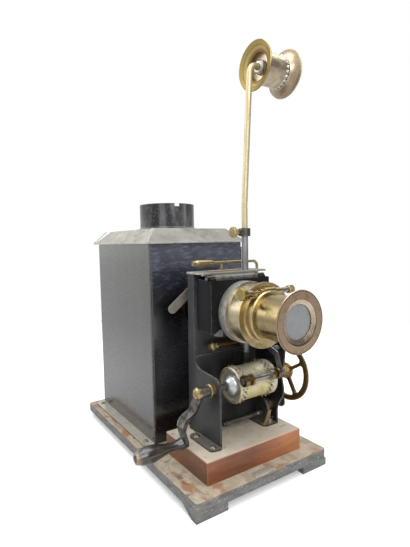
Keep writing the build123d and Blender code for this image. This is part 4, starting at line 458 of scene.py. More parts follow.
@dataclass(frozen=True)
class Mahogany(Finish):
    """French-polished mahogany: red-brown with dark pores, its top grey with years of dust."""

    wood: str = "#6f3d24"
    flame: str = "#9a5a36"
    faded: str = "#be7c48"
    pore: str = "#3d2013"
    grime: str = "#4a3a2b"
    rubbed: str = "#c9a482"
    dust: str = "#c2b9a9"
    trace: str = "#776a59"

    def lay_up(self, s: Surface) -> None:
        """Straight grain along the block with pores, and dust over the top."""
        pores = s.patches(0.7, 0.52, 0.68, (0.08, 1.0, 1.0), 5.0)
        smears = s.patches(9, 0.35, 0.6, (1.0, 0.3, 1.0), 6.0, rest=0.4)
        up = s.towards(UP)
        colour = s.lay(
            self.wood,
            (self.flame, 0.7, s.patches(15, 0.4, 0.65, (0.4, 1.0, 1.0), 9.0)),
            (self.faded, 0.6, s.along((1, 0, 0), -10, 50)),
            (self.pore, 0.28, s.patches(3.2, 0.35, 0.7, (0.12, 1.0, 1.0))),
            (self.pore, 0.4, pores),
            (self.grime, 0.6, smears, s.towards(LEFT)),
            (self.rubbed, 0.6, s.worn_edges(0.6)),
            (self.dust, 1.0, s.patches(9, 0.3, 0.7, seed=3.0, rest=0.85), up),
            (self.trace, 0.7, s.patches(4.5, 0.58, 0.75, seed=12.0), up),
        )
        s.shade(colour, (up, 0.36, 0.85), (pores, 0.03), {"Coat Weight": 0.25, "Coat Roughness": 0.3})


@dataclass(frozen=True)
class PaintedBoard(Finish):
    """Softwood board in slate-grey paint, scuffed through to brown wood and thick with dust on top."""

    paint: str = "#6a6866"
    dark: str = "#403f3e"
    scuff: str = "#a5a39c"
    nick: str = "#2e2c2a"
    dust: str = "#a99d8a"
    trodden: str = "#857a68"
    thick: str = "#c3bbae"
    wood: str = "#8f5f3a"
    oiled: str = "#57402a"
    grit: str = "#5a5751"
    edge: str = "#8f7a60"

    def lay_up(self, s: Surface) -> None:
        """Scuffed paint on the sides, dust on top, and brown wear near the crank side and front."""
        up = s.towards(UP, 0.4, 0.85)
        hand = s.along(LEFT, 46, 60)
        front = s.along(FRONT, 96, 106)
        colour = s.lay(
            self.paint,
            (self.dark, 0.6, s.patches(5, 0.42, 0.62, (0.5, 0.5, 1.6))),
            (self.scuff, 0.6, s.patches(1.3, 0.56, 0.7, (0.5, 0.5, 1.0), 6.0)),
            (self.nick, 0.6, s.patches(1.0, 0.6, 0.7, seed=45.0)),
            (self.dust, 1.0, up),
            (self.trodden, 0.6, s.patches(9, 0.45, 0.64, (1.0, 0.6, 1.0), 3.0), up),
            (self.thick, 0.5, s.patches(5, 0.54, 0.7, seed=27.0), up),
            (self.wood, 0.8, s.patches(13, 0.52, 0.6, (1.0, 0.5, 1.0), 21.0), hand, up),
            (self.oiled, 0.75, s.patches(8, 0.56, 0.66, seed=15.0), hand, up),
            (self.wood, 0.75, s.patches(14, 0.52, 0.62, (0.6, 1.0, 1.0), 18.0), front, up),
            (self.grit, 0.7, s.patches(2.4, 0.62, 0.7, seed=33.0), up),
            (self.edge, 0.6, s.worn_edges(0.9), s.patches(3.5, 0.42, 0.66, seed=9.0), up),
        )
        s.shade(colour, (up, 0.5, 0.9), (s.patches(1.4, 0.0, 1.0, (0.6, 0.6, 1.0)), 0.06))


@dataclass(frozen=True)
class EbonisedWood(Finish):
    """Turned hardwood stained black and polished by hands, worn to brown at its end."""

    stain: str = "#1d1917"
    fibre: str = "#4b4039"
    faded: str = "#5e5349"
    worn: str = "#8d7357"
    end: float = 95.0

    def lay_up(self, s: Surface) -> None:
        """Black stain, brown end, faint turning lines and a high polish."""
        fibre = s.patches(1.6, 0.4, 0.7, (0.15, 1.0, 1.0))
        tip = s.along(LEFT, self.end - 4.5, self.end - 0.5)
        colour = s.lay(
            self.stain,
            (self.fibre, 0.5, fibre),
            (self.faded, 0.35, s.patches(5, 0.52, 0.72, (0.4, 1.0, 1.0), 3.0)),
            (self.worn, 0.85, tip, s.patches(1.6, 0.4, 0.7, seed=4.0, rest=0.7)),
        )
        polish = {"Coat Weight": 0.8, "Coat Roughness": 0.14, "Coat IOR": 1.55}
        s.shade(colour, (fibre, 0.28, 0.4), (fibre, 0.015), polish)


@dataclass(frozen=True)
class PolishedGlass(Finish):
    """Polished clear glass with a grey bloom of age and dust."""

    tint: str = "#dfe6e8"
    clear: float = 1.0
    roughness: float = 0.06
    bloom: str = "#b4b8b7"

    def lay_up(self, s: Surface) -> None:
        """Clear body with a faint haze of dust in patches."""
        haze = s.patches(4.0, 0.4, 0.75)
        colour = s.lay(self.tint, (self.bloom, 0.25, haze))
        glass = {"Transmission Weight": self.clear, "IOR": 1.52}
        s.shade(colour, (haze, 0.02, self.roughness), (haze, 0.002), glass)


@dataclass(frozen=True)
class Felt(Finish):
    """Wool felt gone brown with oil: matt, with a short nap that catches light."""

    wool: str = "#8a715a"
    oiled: str = "#5e4a39"

    def lay_up(self, s: Surface) -> None:
        """Mottled wool with a nap about 0.6 mm deep, drawn coarser than real fibres."""
        nap = s.patches(0.6, 0.3, 0.7, detail=3.0)
        colour = s.lay(self.wool, (self.oiled, 0.5, nap))
        s.shade(colour, (nap, 0.9, 1.0), (nap, 0.15), {"Sheen Weight": 0.3, "Sheen Roughness": 0.5})


def turns(count: int) -> list[float]:
    """Angles of equal steps round a circle, in radians."""
    return [2 * math.pi * step / count for step in range(count)]


def skin(work: Shape, rings: Sequence[Sequence[bmesh.types.BMVert]], capped: bool = False) -> Shape:
    """Joins rings of points with faces.

    Args:
        work: Shape that takes the faces.
        rings: Rings in order. A ring may be a single point.
        capped: Whether the first and last ring are closed as well.

    Returns:
        The same shape.
    """
    steps = max(len(ring) for ring in rings)
    for lower, upper in zip(rings, rings[1:]):
        for step in range(steps):
            pairs = ((lower, step), (lower, step + 1), (upper, step + 1), (upper, step))
            corners = [ring[index % steps % len(ring)] for ring, index in pairs]
            work.faces.new(list(dict.fromkeys(corners)))
    if capped:
        work.faces.new(rings[0][::-1])
        work.faces.new(rings[-1])
    return work


def place(work: Shape, axis: Axis, centre: Point) -> Shape:
    """Stands a shape drawn about +Z along an axis at a centre, and turns millimetres into metres."""
    work.transform(Matrix.Scale(MM, 4) @ Matrix.Translation(centre) @ axis.frame)
    bmesh.ops.recalc_face_normals(work, faces=work.faces)
    return work


def lathe(profile: Sequence[tuple[float, float]], axis: Axis, centre: Point, steps: int = 48) -> Shape:
    """Turns a closed or end-to-end profile about an axis.

    Args:
        profile: Points of (distance along the axis, radius) in millimetres.
        axis: Axis of the lathe.
        centre: Point on the axis that distances start from, in millimetres.
        steps: Faces round the piece.

    Returns:
        The turned shape in metres.
    """
    work = bmesh.new()
    rings = []
    for along, radius in profile:
        angles = turns(steps if radius > 0 else 1)
        rings.append([work.verts.new((radius * math.cos(a), radius * math.sin(a), along)) for a in angles])
    return place(skin(work, rings), axis, centre)


def milled_ring(
    axis: Axis, centre: Point, start: float, end: float, radius: float, ridges: int, depth: float
) -> Shape:
    """Ring of straight milling with eased ends.

    Args:
        axis: Axis of the ring.
        centre: Point on the axis that start and end are measured from.
        start: First end of the milling in millimetres.
        end: Second end of the milling.
        radius: Radius at the foot of the ridges.
        ridges: Ridges round the ring.
        depth: Height of a ridge.

    Returns:
        The ring in metres.
    """
    work = bmesh.new()
    rings = []
    for along, lift in ((start, 0.0), (start + depth, 1.0), (end - depth, 1.0), (end, 0.0)):
        ring = []
        for step in range(ridges * 4):
            # Of four points two make the ridge, and a quarter step leans its flanks
            reach = radius + (depth * lift if step % 4 in (1, 2) else 0.03)
            turn = 2 * math.pi * (step + (0.25 if step % 2 else -0.25)) / (ridges * 4)
            ring.append(work.verts.new((reach * math.cos(turn), reach * math.sin(turn), along)))
        rings.append(ring)
    return place(skin(work, rings, capped=True), axis, centre)


def slotted_head(radius: float, height: float, axis: Axis, centre: Point, slot_turn: float) -> Shape:
    """Domed screw head with a cut slot.

    Args:
        radius: Radius of the head in millimetres.
        height: Height of the dome, negative to face the other way.
        axis: Axis of the head.
        centre: Middle of its seat.
        slot_turn: Angle of the slot in degrees.

    Returns:
        The head in metres.
    """
    rows, slot_half, slot_depth, bulge = 7, 0.14, 0.45, 0.92
    turn = math.radians(slot_turn)
    work = bmesh.new()
    rings = [[work.verts.new((0, 0, height * (1 - slot_depth)))]]
    for row in range(1, rows + 1):
        share = row / rows
        ring = []
        for angle in turns(40):
            x, y = radius * share * math.cos(angle), radius * share * math.sin(angle)
            across = abs(x * math.sin(turn) - y * math.cos(turn))
            cut = slot_depth if across < radius * slot_half and row < rows else 0.0
            ring.append(work.verts.new((x, y, height * (1 - cut) * math.sqrt(1 - share ** 2 * bulge))))
        rings.append(ring)
    rings.append([work.verts.new((v.co.x, v.co.y, 0.0)) for v in rings[-1]])
    return place(skin(work, rings), axis, centre)


def rivet(radius: float, height: float, axis: Axis, centre: Point) -> Shape:
    """Low domed rivet head on its seat."""
    angles = [math.pi / 2 * step / 6 for step in range(6, 0, -1)]
    arc = [(height * math.cos(a), radius * math.sin(a)) for a in angles]
    return lathe([(0.0, radius)] + arc + [(height, 0.0)], axis, centre, 24)


def sheet(outline: Sequence[Point], thickness: Point) -> Shape:
    """Flat piece cut to an outline and given a thickness.

    Args:
        outline: Corners in millimetres, in order.
        thickness: Offset from one face to the other in millimetres.

    Returns:
        The piece in metres, with eased corners.
    """
    work = bmesh.new()
    face = work.faces.new([work.verts.new(Vector(point) * MM) for point in outline])
    made = bmesh.ops.extrude_face_region(work, geom=[face])
    lifted = [item for item in made["geom"] if isinstance(item, bmesh.types.BMVert)]
    bmesh.ops.translate(work, vec=Vector(thickness) * MM, verts=lifted)
    ease = min(Vector(thickness).length * 0.3, 0.25) * MM
    bmesh.ops.bevel(work, geom=list(work.edges), offset=ease, segments=2, profile=0.5, affect="EDGES")
    bmesh.ops.recalc_face_normals(work, faces=work.faces)
    return work


def level_sheet(edges: tuple[float, float, float, float], z: float, thickness: float) -> Shape:
    """Flat rectangle that lies level, from its left, right, front and back edge in millimetres."""
    left, right, front, back = edges
    outline = [(left, front, z), (right, front, z), (right, back, z), (left, back, z)]
    return sheet(outline, (0, 0, thickness))


def drawn_wire(route: Sequence[Point], radius: float, steps: int = 10) -> Shape:
    """Round wire or solder bead along a route.

    Args:
        route: Points in millimetres.
        radius: Radius of the wire.
        steps: Faces round the wire.

    Returns:
        The wire in metres with flat ends.
    """
    work = bmesh.new()
    points = [Vector(point) * MM for point in route]
    rings = []
    for before, point, after in zip(points[:1] + points, points, points[1:] + points[-1:]):
        turn = (after - before).to_track_quat("Z", "Y").to_matrix()
        ring = [turn @ Vector((math.cos(a), math.sin(a), 0)) * radius * MM + point for a in turns(steps)]
        rings.append([work.verts.new(co) for co in ring])
    skin(work, rings, capped=True)
    bmesh.ops.recalc_face_normals(work, faces=work.faces)
    return work


def bent_route(corners: Sequence[Point], radii: Sequence[float]) -> list[Point]:
    """Route through corners, each rounded by its own radius.

    Args:
        corners: Points in millimetres, first and last included.
        radii: Bend radius at each inner corner.

    Returns:
        Points of the rounded route.
    """
    steps = 8
    points = [Vector(corner) for corner in corners]
    route = [tuple(points[0])]
    for before, corner, after, radius in zip(points, points[1:], points[2:], radii):
        arriving, leaving = (corner - before).normalized(), (after - corner).normalized()
        angle = arriving.angle(leaving)
        start = corner - arriving * radius * math.tan(angle / 2)
        inward = (leaving - arriving * arriving.dot(leaving)).normalized()
        centre = start + inward * radius
        for step in range(steps + 1):
            turn = angle * step / steps
            place_on_bend = centre - inward * radius * math.cos(turn) + arriving * radius * math.sin(turn)
            route.append(tuple(place_on_bend))
    return route + [tuple(points[-1])]


def on_wheel(centre: Point, radius: float, turn: float) -> tuple[Vector, Vector, Vector]:
    """Place on a wheel about +X, the way out from it and the way along its rim.

    Args:
        centre: Middle of the wheel in millimetres.
        radius: Distance of the place from the middle.
        turn: Angle of the place in radians.

    Returns:
        The place, and both directions as unit vectors.
    """
    out = Vector((0, math.cos(turn), math.sin(turn)))
    return Vector(centre) + out * radius, out, Vector((0, -out.z, out.y))


def oval(spot: Vector, out: Vector, along: Vector, half: tuple[float, float], dip: float = 0.0) -> Shape:
    """Small dark hole on a wheel, drawn as an oval patch.

    Args:
        spot: Middle of the patch in millimetres.
        out: The way out from the wheel.
        along: The way along its rim.
        half: Half its width across the rim, and along it.
        dip: How much it bends with the rim, per millimetre squared.

    Returns:
        The patch in metres.
    """
    work = bmesh.new()
    rim = []
    for turn in turns(10):
        reach = half[1] * math.sin(turn)
        point = spot + Vector((half[0] * math.cos(turn), 0, 0)) + along * reach - out * dip * reach ** 2
        rim.append(work.verts.new(point * MM))
    work.faces.new(rim)
    return work


def joined(parts: Iterable[Shape]) -> Shape:
    """Gathers several shapes into one and frees them."""
    whole = bmesh.new()
    for part in parts:
        spare = bpy.data.meshes.new("spare")
        part.to_mesh(spare)
        part.free()
        whole.from_mesh(spare)
        bpy.data.meshes.remove(spare)
    return whole


def put(name: str, data: bpy.types.ID) -> bpy.types.Object:
    """Puts a mesh, light or camera into the scene under a name."""
    thing = bpy.data.objects.new(name, data)
    bpy.context.scene.collection.objects.link(thing)
    return thing


@dataclass
class SubAssembly:
    """Group of pieces that are made and finished together."""

    def dress(self, finish: Finish, *nodes: str) -> None:
        """Gives carried-over CAD nodes their finish.

        Args:
            finish: Finish of the surface.
            nodes: Names of the CAD nodes.
        """
        for name in nodes:
            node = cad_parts[name]
            if not node.material_slots:
                node.data.materials.append(None)
            for slot in node.material_slots:
                slot.material = finish.material()
            LOG.info("%s: %s in %s", type(self).__name__, name, finish.name)

    def fit(self, name: str, work: Shape, finish: Finish, body: str, slot: str, smooth: float = 35) -> None:
        """Makes a piece from its shape and lets it ride on a body.

        Args:
            name: Name of the piece.
            work: Its shape in metres, which is freed.
            finish: Finish of its surface.
            body: CAD body that carries it.
            slot: Not used.
            smooth: Largest angle in degrees that is shaded round.
        """
        mesh = bpy.data.meshes.new(name)
        work.to_mesh(mesh)
        work.free()
        mesh.materials.append(finish.material())
        piece = put(name, mesh)
        mesh.shade_smooth()
        mesh.set_sharp_from_angle(angle=math.radians(smooth))
        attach(piece, body)
        LOG.info("%s: %s, %d faces, on %s", type(self).__name__, name, len(mesh.polygons), body)


@dataclass
class WoodenBase(SubAssembly):
    """Board on its feet, and the block that the mechanism stands on."""

    top: float = 15.0
    plate: tuple[float, float, float, float] = (-12.0, 9.5, -114.3, -107.4)
    pin_inset: float = 1.6

    def build(self) -> None:
        """Paints the board, polishes the block and pins a bare metal plate to the front."""
        screws = PlainMetal("Rusted_steel_screws", "#8d8880", "#4c3a2c", "#c9c5bb", 0.6)
        self.dress(PaintedBoard("Painted_softwood_board"), "base_board", "front_feet", "rear_feet")
        self.dress(Mahogany("French_polished_mahogany"), "mechanism_block")
        self.dress(screws, "wood_screws")
        bare = PlainMetal("Rolled_zinc_plate", "#b4b0a6", "#7b756a", "#dedbd2", 0.4, 0.5, 0.6)
        self.fit("front_plate", level_sheet(self.plate, self.top, 0.45), bare, "stand", "tinplate")
        left, right, front, back = self.plate
        y, z = (front + back) / 2, self.top + 0.4
        pins = [rivet(0.7, 0.35, Axis.Z, (x, y, z)) for x in (left + self.pin_inset, right - self.pin_inset)]
        self.fit("front_plate_pins", joined(pins), screws, "stand", "steel")


@dataclass
class LampHouse(SubAssembly):
    """Folded sheet house with its lid, chimney, door and condenser."""

    half_width: float = 52.0
    front: float = -20.5
    back: float = 109.5
    bottom: float = 15.0
    roof: float = 198.0
    rim: float = 56.5
    plateau: float = 212.0
    slope: float = 11.5
    overhang: float = 4.5
    chimney_y: float = 40.0
    chimney_radius: float = 28.5
    chimney_top: float = 238.0
    bead: float = 0.5
    seam: float = 0.75
    lap_turn: float = -74.0
    lap_half: float = 3.2
    lap_sheet: float = 0.35

    def build(self) -> None:
        """Dresses the sheet work and adds its solder and seams."""
        sheet_iron = LampHouseSheet("Japanned_lamp_house_iron")
        lid_paint = DustyPaint("Dust_coated_grey_lid_paint")
        chimney_iron = SootedSheet("Lamp_burnt_chimney_iron")
        brass = TurnedMetal(
            "Sooted_brass_condenser", "#5d4f37", "#231d15", "#a8946b", 0.8, axis=Axis.Y, centre=LIGHT_AXIS
        )
        self.dress(sheet_iron, "lamphouse_body", "rear_door", "door_hinge")
        self.dress(lid_paint, "lid")
        self.dress(chimney_iron, "chimney")
        self.dress(brass, "condenser_cell", "door_knob")
        self.dress(PolishedGlass("Clear_glass_condenser"), "condenser_lenses")
        self.add_lid_solder(lid_paint)
        self.add_chimney_seam(chimney_iron)
        self.add_corner_seams(sheet_iron)

    def add_lid_solder(self, finish: Finish) -> None:
        """Beads of solder down the four hips of the lid and round the foot of the chimney."""
        hips = []
        middle = (self.front + self.back) / 2
        reach = (self.back - self.front) / 2 + self.overhang
        # A bead sits a little inside the lid's rim and just over its plateau
        ends = ((0.6, self.roof + 1.0), (self.slope + 0.3, self.plateau - 0.3))
        for side, end in itertools.product((-1, 1), (-1, 1)):
            route = [(side * (self.rim - inset), middle + end * (reach - inset), z) for inset, z in ends]
            hips.append(drawn_wire(route, self.bead))
        self.fit("lid_hip_solder", joined(hips), finish, "lid_assembly", "grey_sheet")
        profile = ((0.0, -0.2), (0.0, 1.6), (0.35, 1.2), (0.9, 0.35), (1.5, -0.2))
        collar = [(height, self.chimney_radius + out) for height, out in profile]
        bead = lathe(collar, Axis.Z, (0, self.chimney_y, self.plateau), 96)
        self.fit("chimney_solder", bead, finish, "lid_assembly", "grey_sheet")

    def add_chimney_seam(self, finish: Finish) -> None:
        """Lapped upright seam of the chimney."""
        turn = math.radians(self.lap_turn)
        out = Vector((math.cos(turn), math.sin(turn), 0))
        side = Vector((-out.y, out.x, 0))
        centre = Vector((0, self.chimney_y, 0)) + out * (self.chimney_radius - 0.15)
        strip = []
        for across in (-self.lap_half, self.lap_half):
            strip.append((centre + side * across - out * (across ** 2 / 2 / self.chimney_radius))[:2])
        low, high = self.plateau + 1.2, self.chimney_top - 0.6
        corners = [(*strip[0], low), (*strip[1], low), (*strip[1], high), (*strip[0], high)]
        lap = sheet(corners, tuple(out * self.lap_sheet))
        self.fit("chimney_lap", lap, finish, "lid_assembly", "black_sheet")

    def add_corner_seams(self, finish: Finish) -> None:
        """Folded seams up the front corners."""
        seams = []
        heights = (self.bottom + 1.2, (self.bottom + self.roof) / 2, self.roof - 5.0)
        for side in (-1, 1):
            x, y = side * (self.half_width - 0.5), self.front + 0.5
            seams.append(drawn_wire([(x, y, z) for z in heights], self.seam))
        self.fit("house_corner_seams", joined(seams), finish, "stand", "black_sheet")


@dataclass
class OilLamp(SubAssembly):
    """Paraffin lamp inside the house."""

    wick: Point = (0.0, 36.0, 0.0)

    def build(self) -> None:
        """Dresses the tank, burner, glass and reflector."""
        tin = PlainMetal("Tinned_sheet", "#b9b8b2", "#7c7467", "#dddcd6", 0.45, 0.35)
        self.dress(tin, "oil_font", "reflector")
        brass = TurnedMetal("Turned_brass_burner", axis=Axis.Z, centre=self.wick)
        self.dress(brass, "burner", "wick_wheel")
        self.dress(PolishedGlass("Lamp_chimney_glass", roughness=0.12), "lamp_glass")


@dataclass
class MechanismFrame(SubAssembly):
    """Cheeks, back plate, gate, shelf and the fittings that stay on them."""

    shelf_top: float = 173.0
    felt: tuple[float, float, float, float] = (-20.0, 15.0, -66.2, -62.4)

    def build(self) -> None:
        """Dresses the frame and lays a strip of brown felt on the shelf, which the film brushes over."""
        japan = JapannedSheet("Japanned_frame_iron", haze="#63656a", haze_share=0.14, sheen=0.7)
        self.dress(japan, "left_cheek", "right_cheek", "back_plate", "tube_bracket")
        hinge = PlainMetal("Rubbed_hinge_iron", "#86857f", "#2f2e2c", "#d6d4cc", 0.6, 0.4, 0.7, size=2.0)
        self.dress(hinge, "gate_hinge")
        self.dress(DustyPaint("Dust_coated_shelf_paint", "#827d73", "#3c3a37", "#e0ddd5", 0.8), "top_shelf")
        steel = PlainMetal("Dull_gate_steel", "#8f9091", "#4d4c4a")
        self.dress(steel, "aperture_plate", "gate_frame", "wing_nut")
        self.dress(PlainMetal("Spring_brass_strip", "#b08d57", "#5c4630"), "gate_springs")
        rod = TurnedMetal(
            "Drawn_brass_rod", "#bcae84", "#66563a", "#e8deba", 0.45, centre=(0, -55, 180.2), line=1.2
        )
        self.dress(rod, "top_guide_rod", "guide_sleeve")
        self.dress(TurnedMetal("Turned_brass_bush", "#ad9a70", centre=MAIN_SHAFT), "shaft_bushes")
        self.dress(PlainMetal("Bent_brass_wire", "#c0a878", "#6f5a3a"), "film_stripper")
        tube = PlainMetal("Grey_steel_tube", "#a0a2a3", "#4a4b4c", "#cdcfcf", 0.6, 0.42, 0.85, (1, 1, 0.15))
        self.dress(tube, "arm_tube")
        strip = level_sheet(self.felt, self.shelf_top, 1.1)
        self.fit("shelf_felt", strip, Felt("Oiled_wool_felt"), "stand", "tan_sheet")


@dataclass
class Drive(SubAssembly):
    """Crank, main shaft, drum and the gear pair to the beater."""

    drum_radius: float = 15.1
    teeth: int = 20
    rows: tuple[float, float] = (-6.6, 21.6)
    shifts: tuple[float, float] = (1.9, -2.1)
    # Half size of the dark oval spot beside each tooth
    spot_half: float = 0.62
    elbow: Point = (-41.9, -64.93, 56.26)

    def build(self) -> None:
        """Dresses the drive and adds dark spots beside the drum's teeth, the drum's boss and the elbow's
        rivet.
        """
        forged = PlainMetal(
            "Forged_crank_iron", "#66635f", "#1d1c1b", "#c2bcb0", 0.8, 0.34, 0.8, size=2.4, pitting=0.05
        )
        self.dress(forged, "crank_arm")
        brass = TurnedMetal(
            "Turned_brass_screw", "#b5a078", "#5e4a30", "#eadfbb", centre=MAIN_SHAFT, line=0.6
        )
        self.dress(brass, "crank_screw")
        steel = PlainMetal("Oiled_shaft_steel", "#75746f", "#3a3733", "#a9a69f")
        self.dress(steel, "main_shaft", "beater_shaft", "beater_roller", "beater_pinion")
        self.dress(EbonisedWood("Ebonised_turned_handle"), "crank_handle")
        bands = (Band(-11.0, "#c6bfa8"), Band(-3.6, "#cdc08b"), Band(21.9, "#c6bfa8"))
        drum = TurnedMetal(
            "Turned_brass_drum", "#8d7048", "#6f5d40", "#e9dfbd", 0.35, 0.4,
            centre=MAIN_SHAFT, line=0.8, bands=bands, dust_share=0.8,
        )
        self.dress(drum, "sprocket_drum")
        teeth = PlainMetal("Tarnished_brass_teeth", "#a08a5c", "#4d3f27", "#e0d3a8")
        self.dress(teeth, "sprocket_teeth")
        self.dress(PlainMetal("Tinned_drum_cap", "#d9d3c2", "#8f8569", "#f6f7f8", 0.5, 0.3, 0.4), "drum_cap")
        bronze = TurnedMetal(
            "Cut_bronze_gear", "#947c50", "#4a3a24", "#c9b07a", 0.55, 0.4, centre=MAIN_SHAFT, line=1.4
        )
        self.dress(bronze, "drive_gear")
        profile = [
            (-7.0, 2.6), (-8.0, 8.6), (-9.6, 8.9), (-11.6, 8.0), (-13.6, 5.8), (-15.0, 4.4), (-15.4, 3.8),
            (-15.4, 2.6),
        ]
        boss = lathe(profile, Axis.X, MAIN_SHAFT)
        nickel = PlainMetal("Nickelled_drum_boss", "#cfd3d6", "#7d7a75", "#f6f7f8", 0.5, 0.28, 0.8)
        self.fit("drum_boss", boss, nickel, "crank_and_drum", "nickel")
        head = slotted_head(2.1, -1.1, Axis.X, self.elbow, 35)
        self.fit("elbow_rivet", head, brass, "crank_and_drum", "brass")
        self.add_tooth_spots()

    def add_tooth_spots(self) -> None:
        """Dark oval spots beside the teeth, laid just clear of the drum."""
        pits = []
        clear_of_drum, bend = 0.02, 0.0127
        for row, shift, turn in itertools.product(self.rows, self.shifts, turns(self.teeth)):
            seat = on_wheel((row + shift, *MAIN_SHAFT[1:]), self.drum_radius + clear_of_drum, turn)
            pits.append(oval(*seat, (self.spot_half, self.spot_half), bend))
        # Near-black ovals on the drum beside each tooth
        dark = PlainMetal("Black_tooth_spot", "#1b1712", "#0e0c0a", "#3a3128", 0.5, 0.6, 0.2)
        self.fit("drum_tooth_spots", joined(pits), dark, "crank_and_drum", "brass")


@dataclass
class FilmGuides(SubAssembly):
    """Sprung guide roller and the framing screw."""

    roller: Point = (0.0, -99.25, 87.2)
    framing: Point = (0.0, -63.0, 109.0)
    leg: tuple[Point, ...] = (
        (28.9, -86.0, 106.9), (27.6, -84.4, 111.5), (25.8, -82.2, 117.0), (24.4, -80.4, 121.8)
    )

    def build(self) -> None:
        """Dresses the guides, mills the framing knob and adds a leg to the arm's spring."""
        bands = (Band(-3.0, "#a4a29b"), Band(17.5, "#937b5a"))
        bronze = TurnedMetal(
            "Turned_bronze_roller", "#937b5a", "#4f4029", "#dccba6",
            roughness=0.28, centre=self.roller, line=0.8, bands=bands,
        )
        self.dress(bronze, "guide_roller")
        nickel = PlainMetal("Worn_nickel_plate", "#97969a", "#55504b", "#d5d5d9", 0.6, 0.3)
        self.dress(nickel, "roller_arm", "arm_spring")
        copper = PlainMetal("Drawn_copper_spring", "#7a4630", "#3a2019", "#c98d68", 0.4, 0.3, size=2.0)
        self.dress(copper, "framing_spring")
        knob = TurnedMetal("Turned_brass_framing_knob", "#a8946a", centre=self.framing)
        self.dress(knob, "framing_knob")
        ring = milled_ring(Axis.X, self.framing, -17.5, -14.9, 3.5, 26, 0.3)
        self.fit("framing_knob_milling", ring, knob, "framing", "brass", 20)
        self.fit("arm_spring_leg", drawn_wire(self.leg, 0.45), nickel, "stand", "steel")


@dataclass
class LensTurret(SubAssembly):
    """Hinged lens box with its mount, sliding barrel and focusing pinion."""

    focus: Point = (0.0, -107.0, 158.4)

    def build(self) -> None:
        """Dresses the lens, rings its mount and mills its right knob."""
        box = JapannedSheet("Japanned_lens_box_iron", "#0a0a0b", haze_share=0.06, roughness=0.5, sheen=0.2)
        self.dress(box, "gate_box")
        self.dress(PlainMetal("Nickelled_catch", "#8d8c8a"), "gate_catch")
        bands = (Band(-103.2, "#c2b79a"), Band(-86.0, "#b3b1aa"), Band(-76.7, "#a3a19c"))
        mount = TurnedMetal(
            "Turned_brass_lens_mount", "#bdaa7c", "#655738", "#e9dfb8", 0.35, 0.28,
            Axis.Y, LIGHT_AXIS, 0.9, bands,
        )
        self.dress(mount, "lens_mount")
        profile = [(-85.7, 25.9), (-85.7, 26.1), (-85.4, 26.25), (-76.9, 26.25), (-76.8, 25.9)]
        grey = PlainMetal("Dusty_nickelled_ring", "#8b8b87", "#454440", "#c9c8c3", 0.6, 0.42, 0.3, size=2.6)
        self.fit("lens_mount_ring", lathe(profile, Axis.Y, LIGHT_AXIS, 96), grey, "lens_door", "nickel")
        bands = (Band(-139.6, "#a0906a"),)
        face = (Band(10, "#d9c8b4"), Band(16.6, "#8a7460"), Band(17.4, "#b39a82"), Band(22.6, "#7d6553"))
        barrel = TurnedMetal(
            "Turned_brass_lens_barrel", "#a48b73", "#5f4c37", "#eadcc2", 0.2, 0.24,
            Axis.Y, LIGHT_AXIS, 0.9, bands, face,
        )
        self.dress(barrel, "lens_barrel")
        bands = (Band(-15.2, "#aaa092"), Band(29.0, "#b7a988"))
        knob = TurnedMetal(
            "Turned_brass_focus_knob", "#a8955f", "#5a4a2e", "#e6dab6", 0.45,
            centre=self.focus, line=0.6, bands=bands,
        )
        self.dress(knob, "focus_pinion")
        self.dress(PolishedGlass("Dusty_clear_glass_lens", "#9a9c9d", 0.5, 0.1), "lens_glasses")
        ring = milled_ring(Axis.X, self.focus, 29.7, 35.4, 3.0, 18, 0.4)
        self.fit("focus_knob_milling", ring, knob, "focus", "brass", 20)


@dataclass
class Douser(SubAssembly):
    """Flag that shades the gate."""

    def build(self) -> None:
        """Dresses the flag."""
        tin = PlainMetal("Worn_tinned_douser_sheet", "#8b847e", "#5f5852", "#cfc8c0", 0.5, 0.42, 0.5)
        self.dress(tin, "douser")


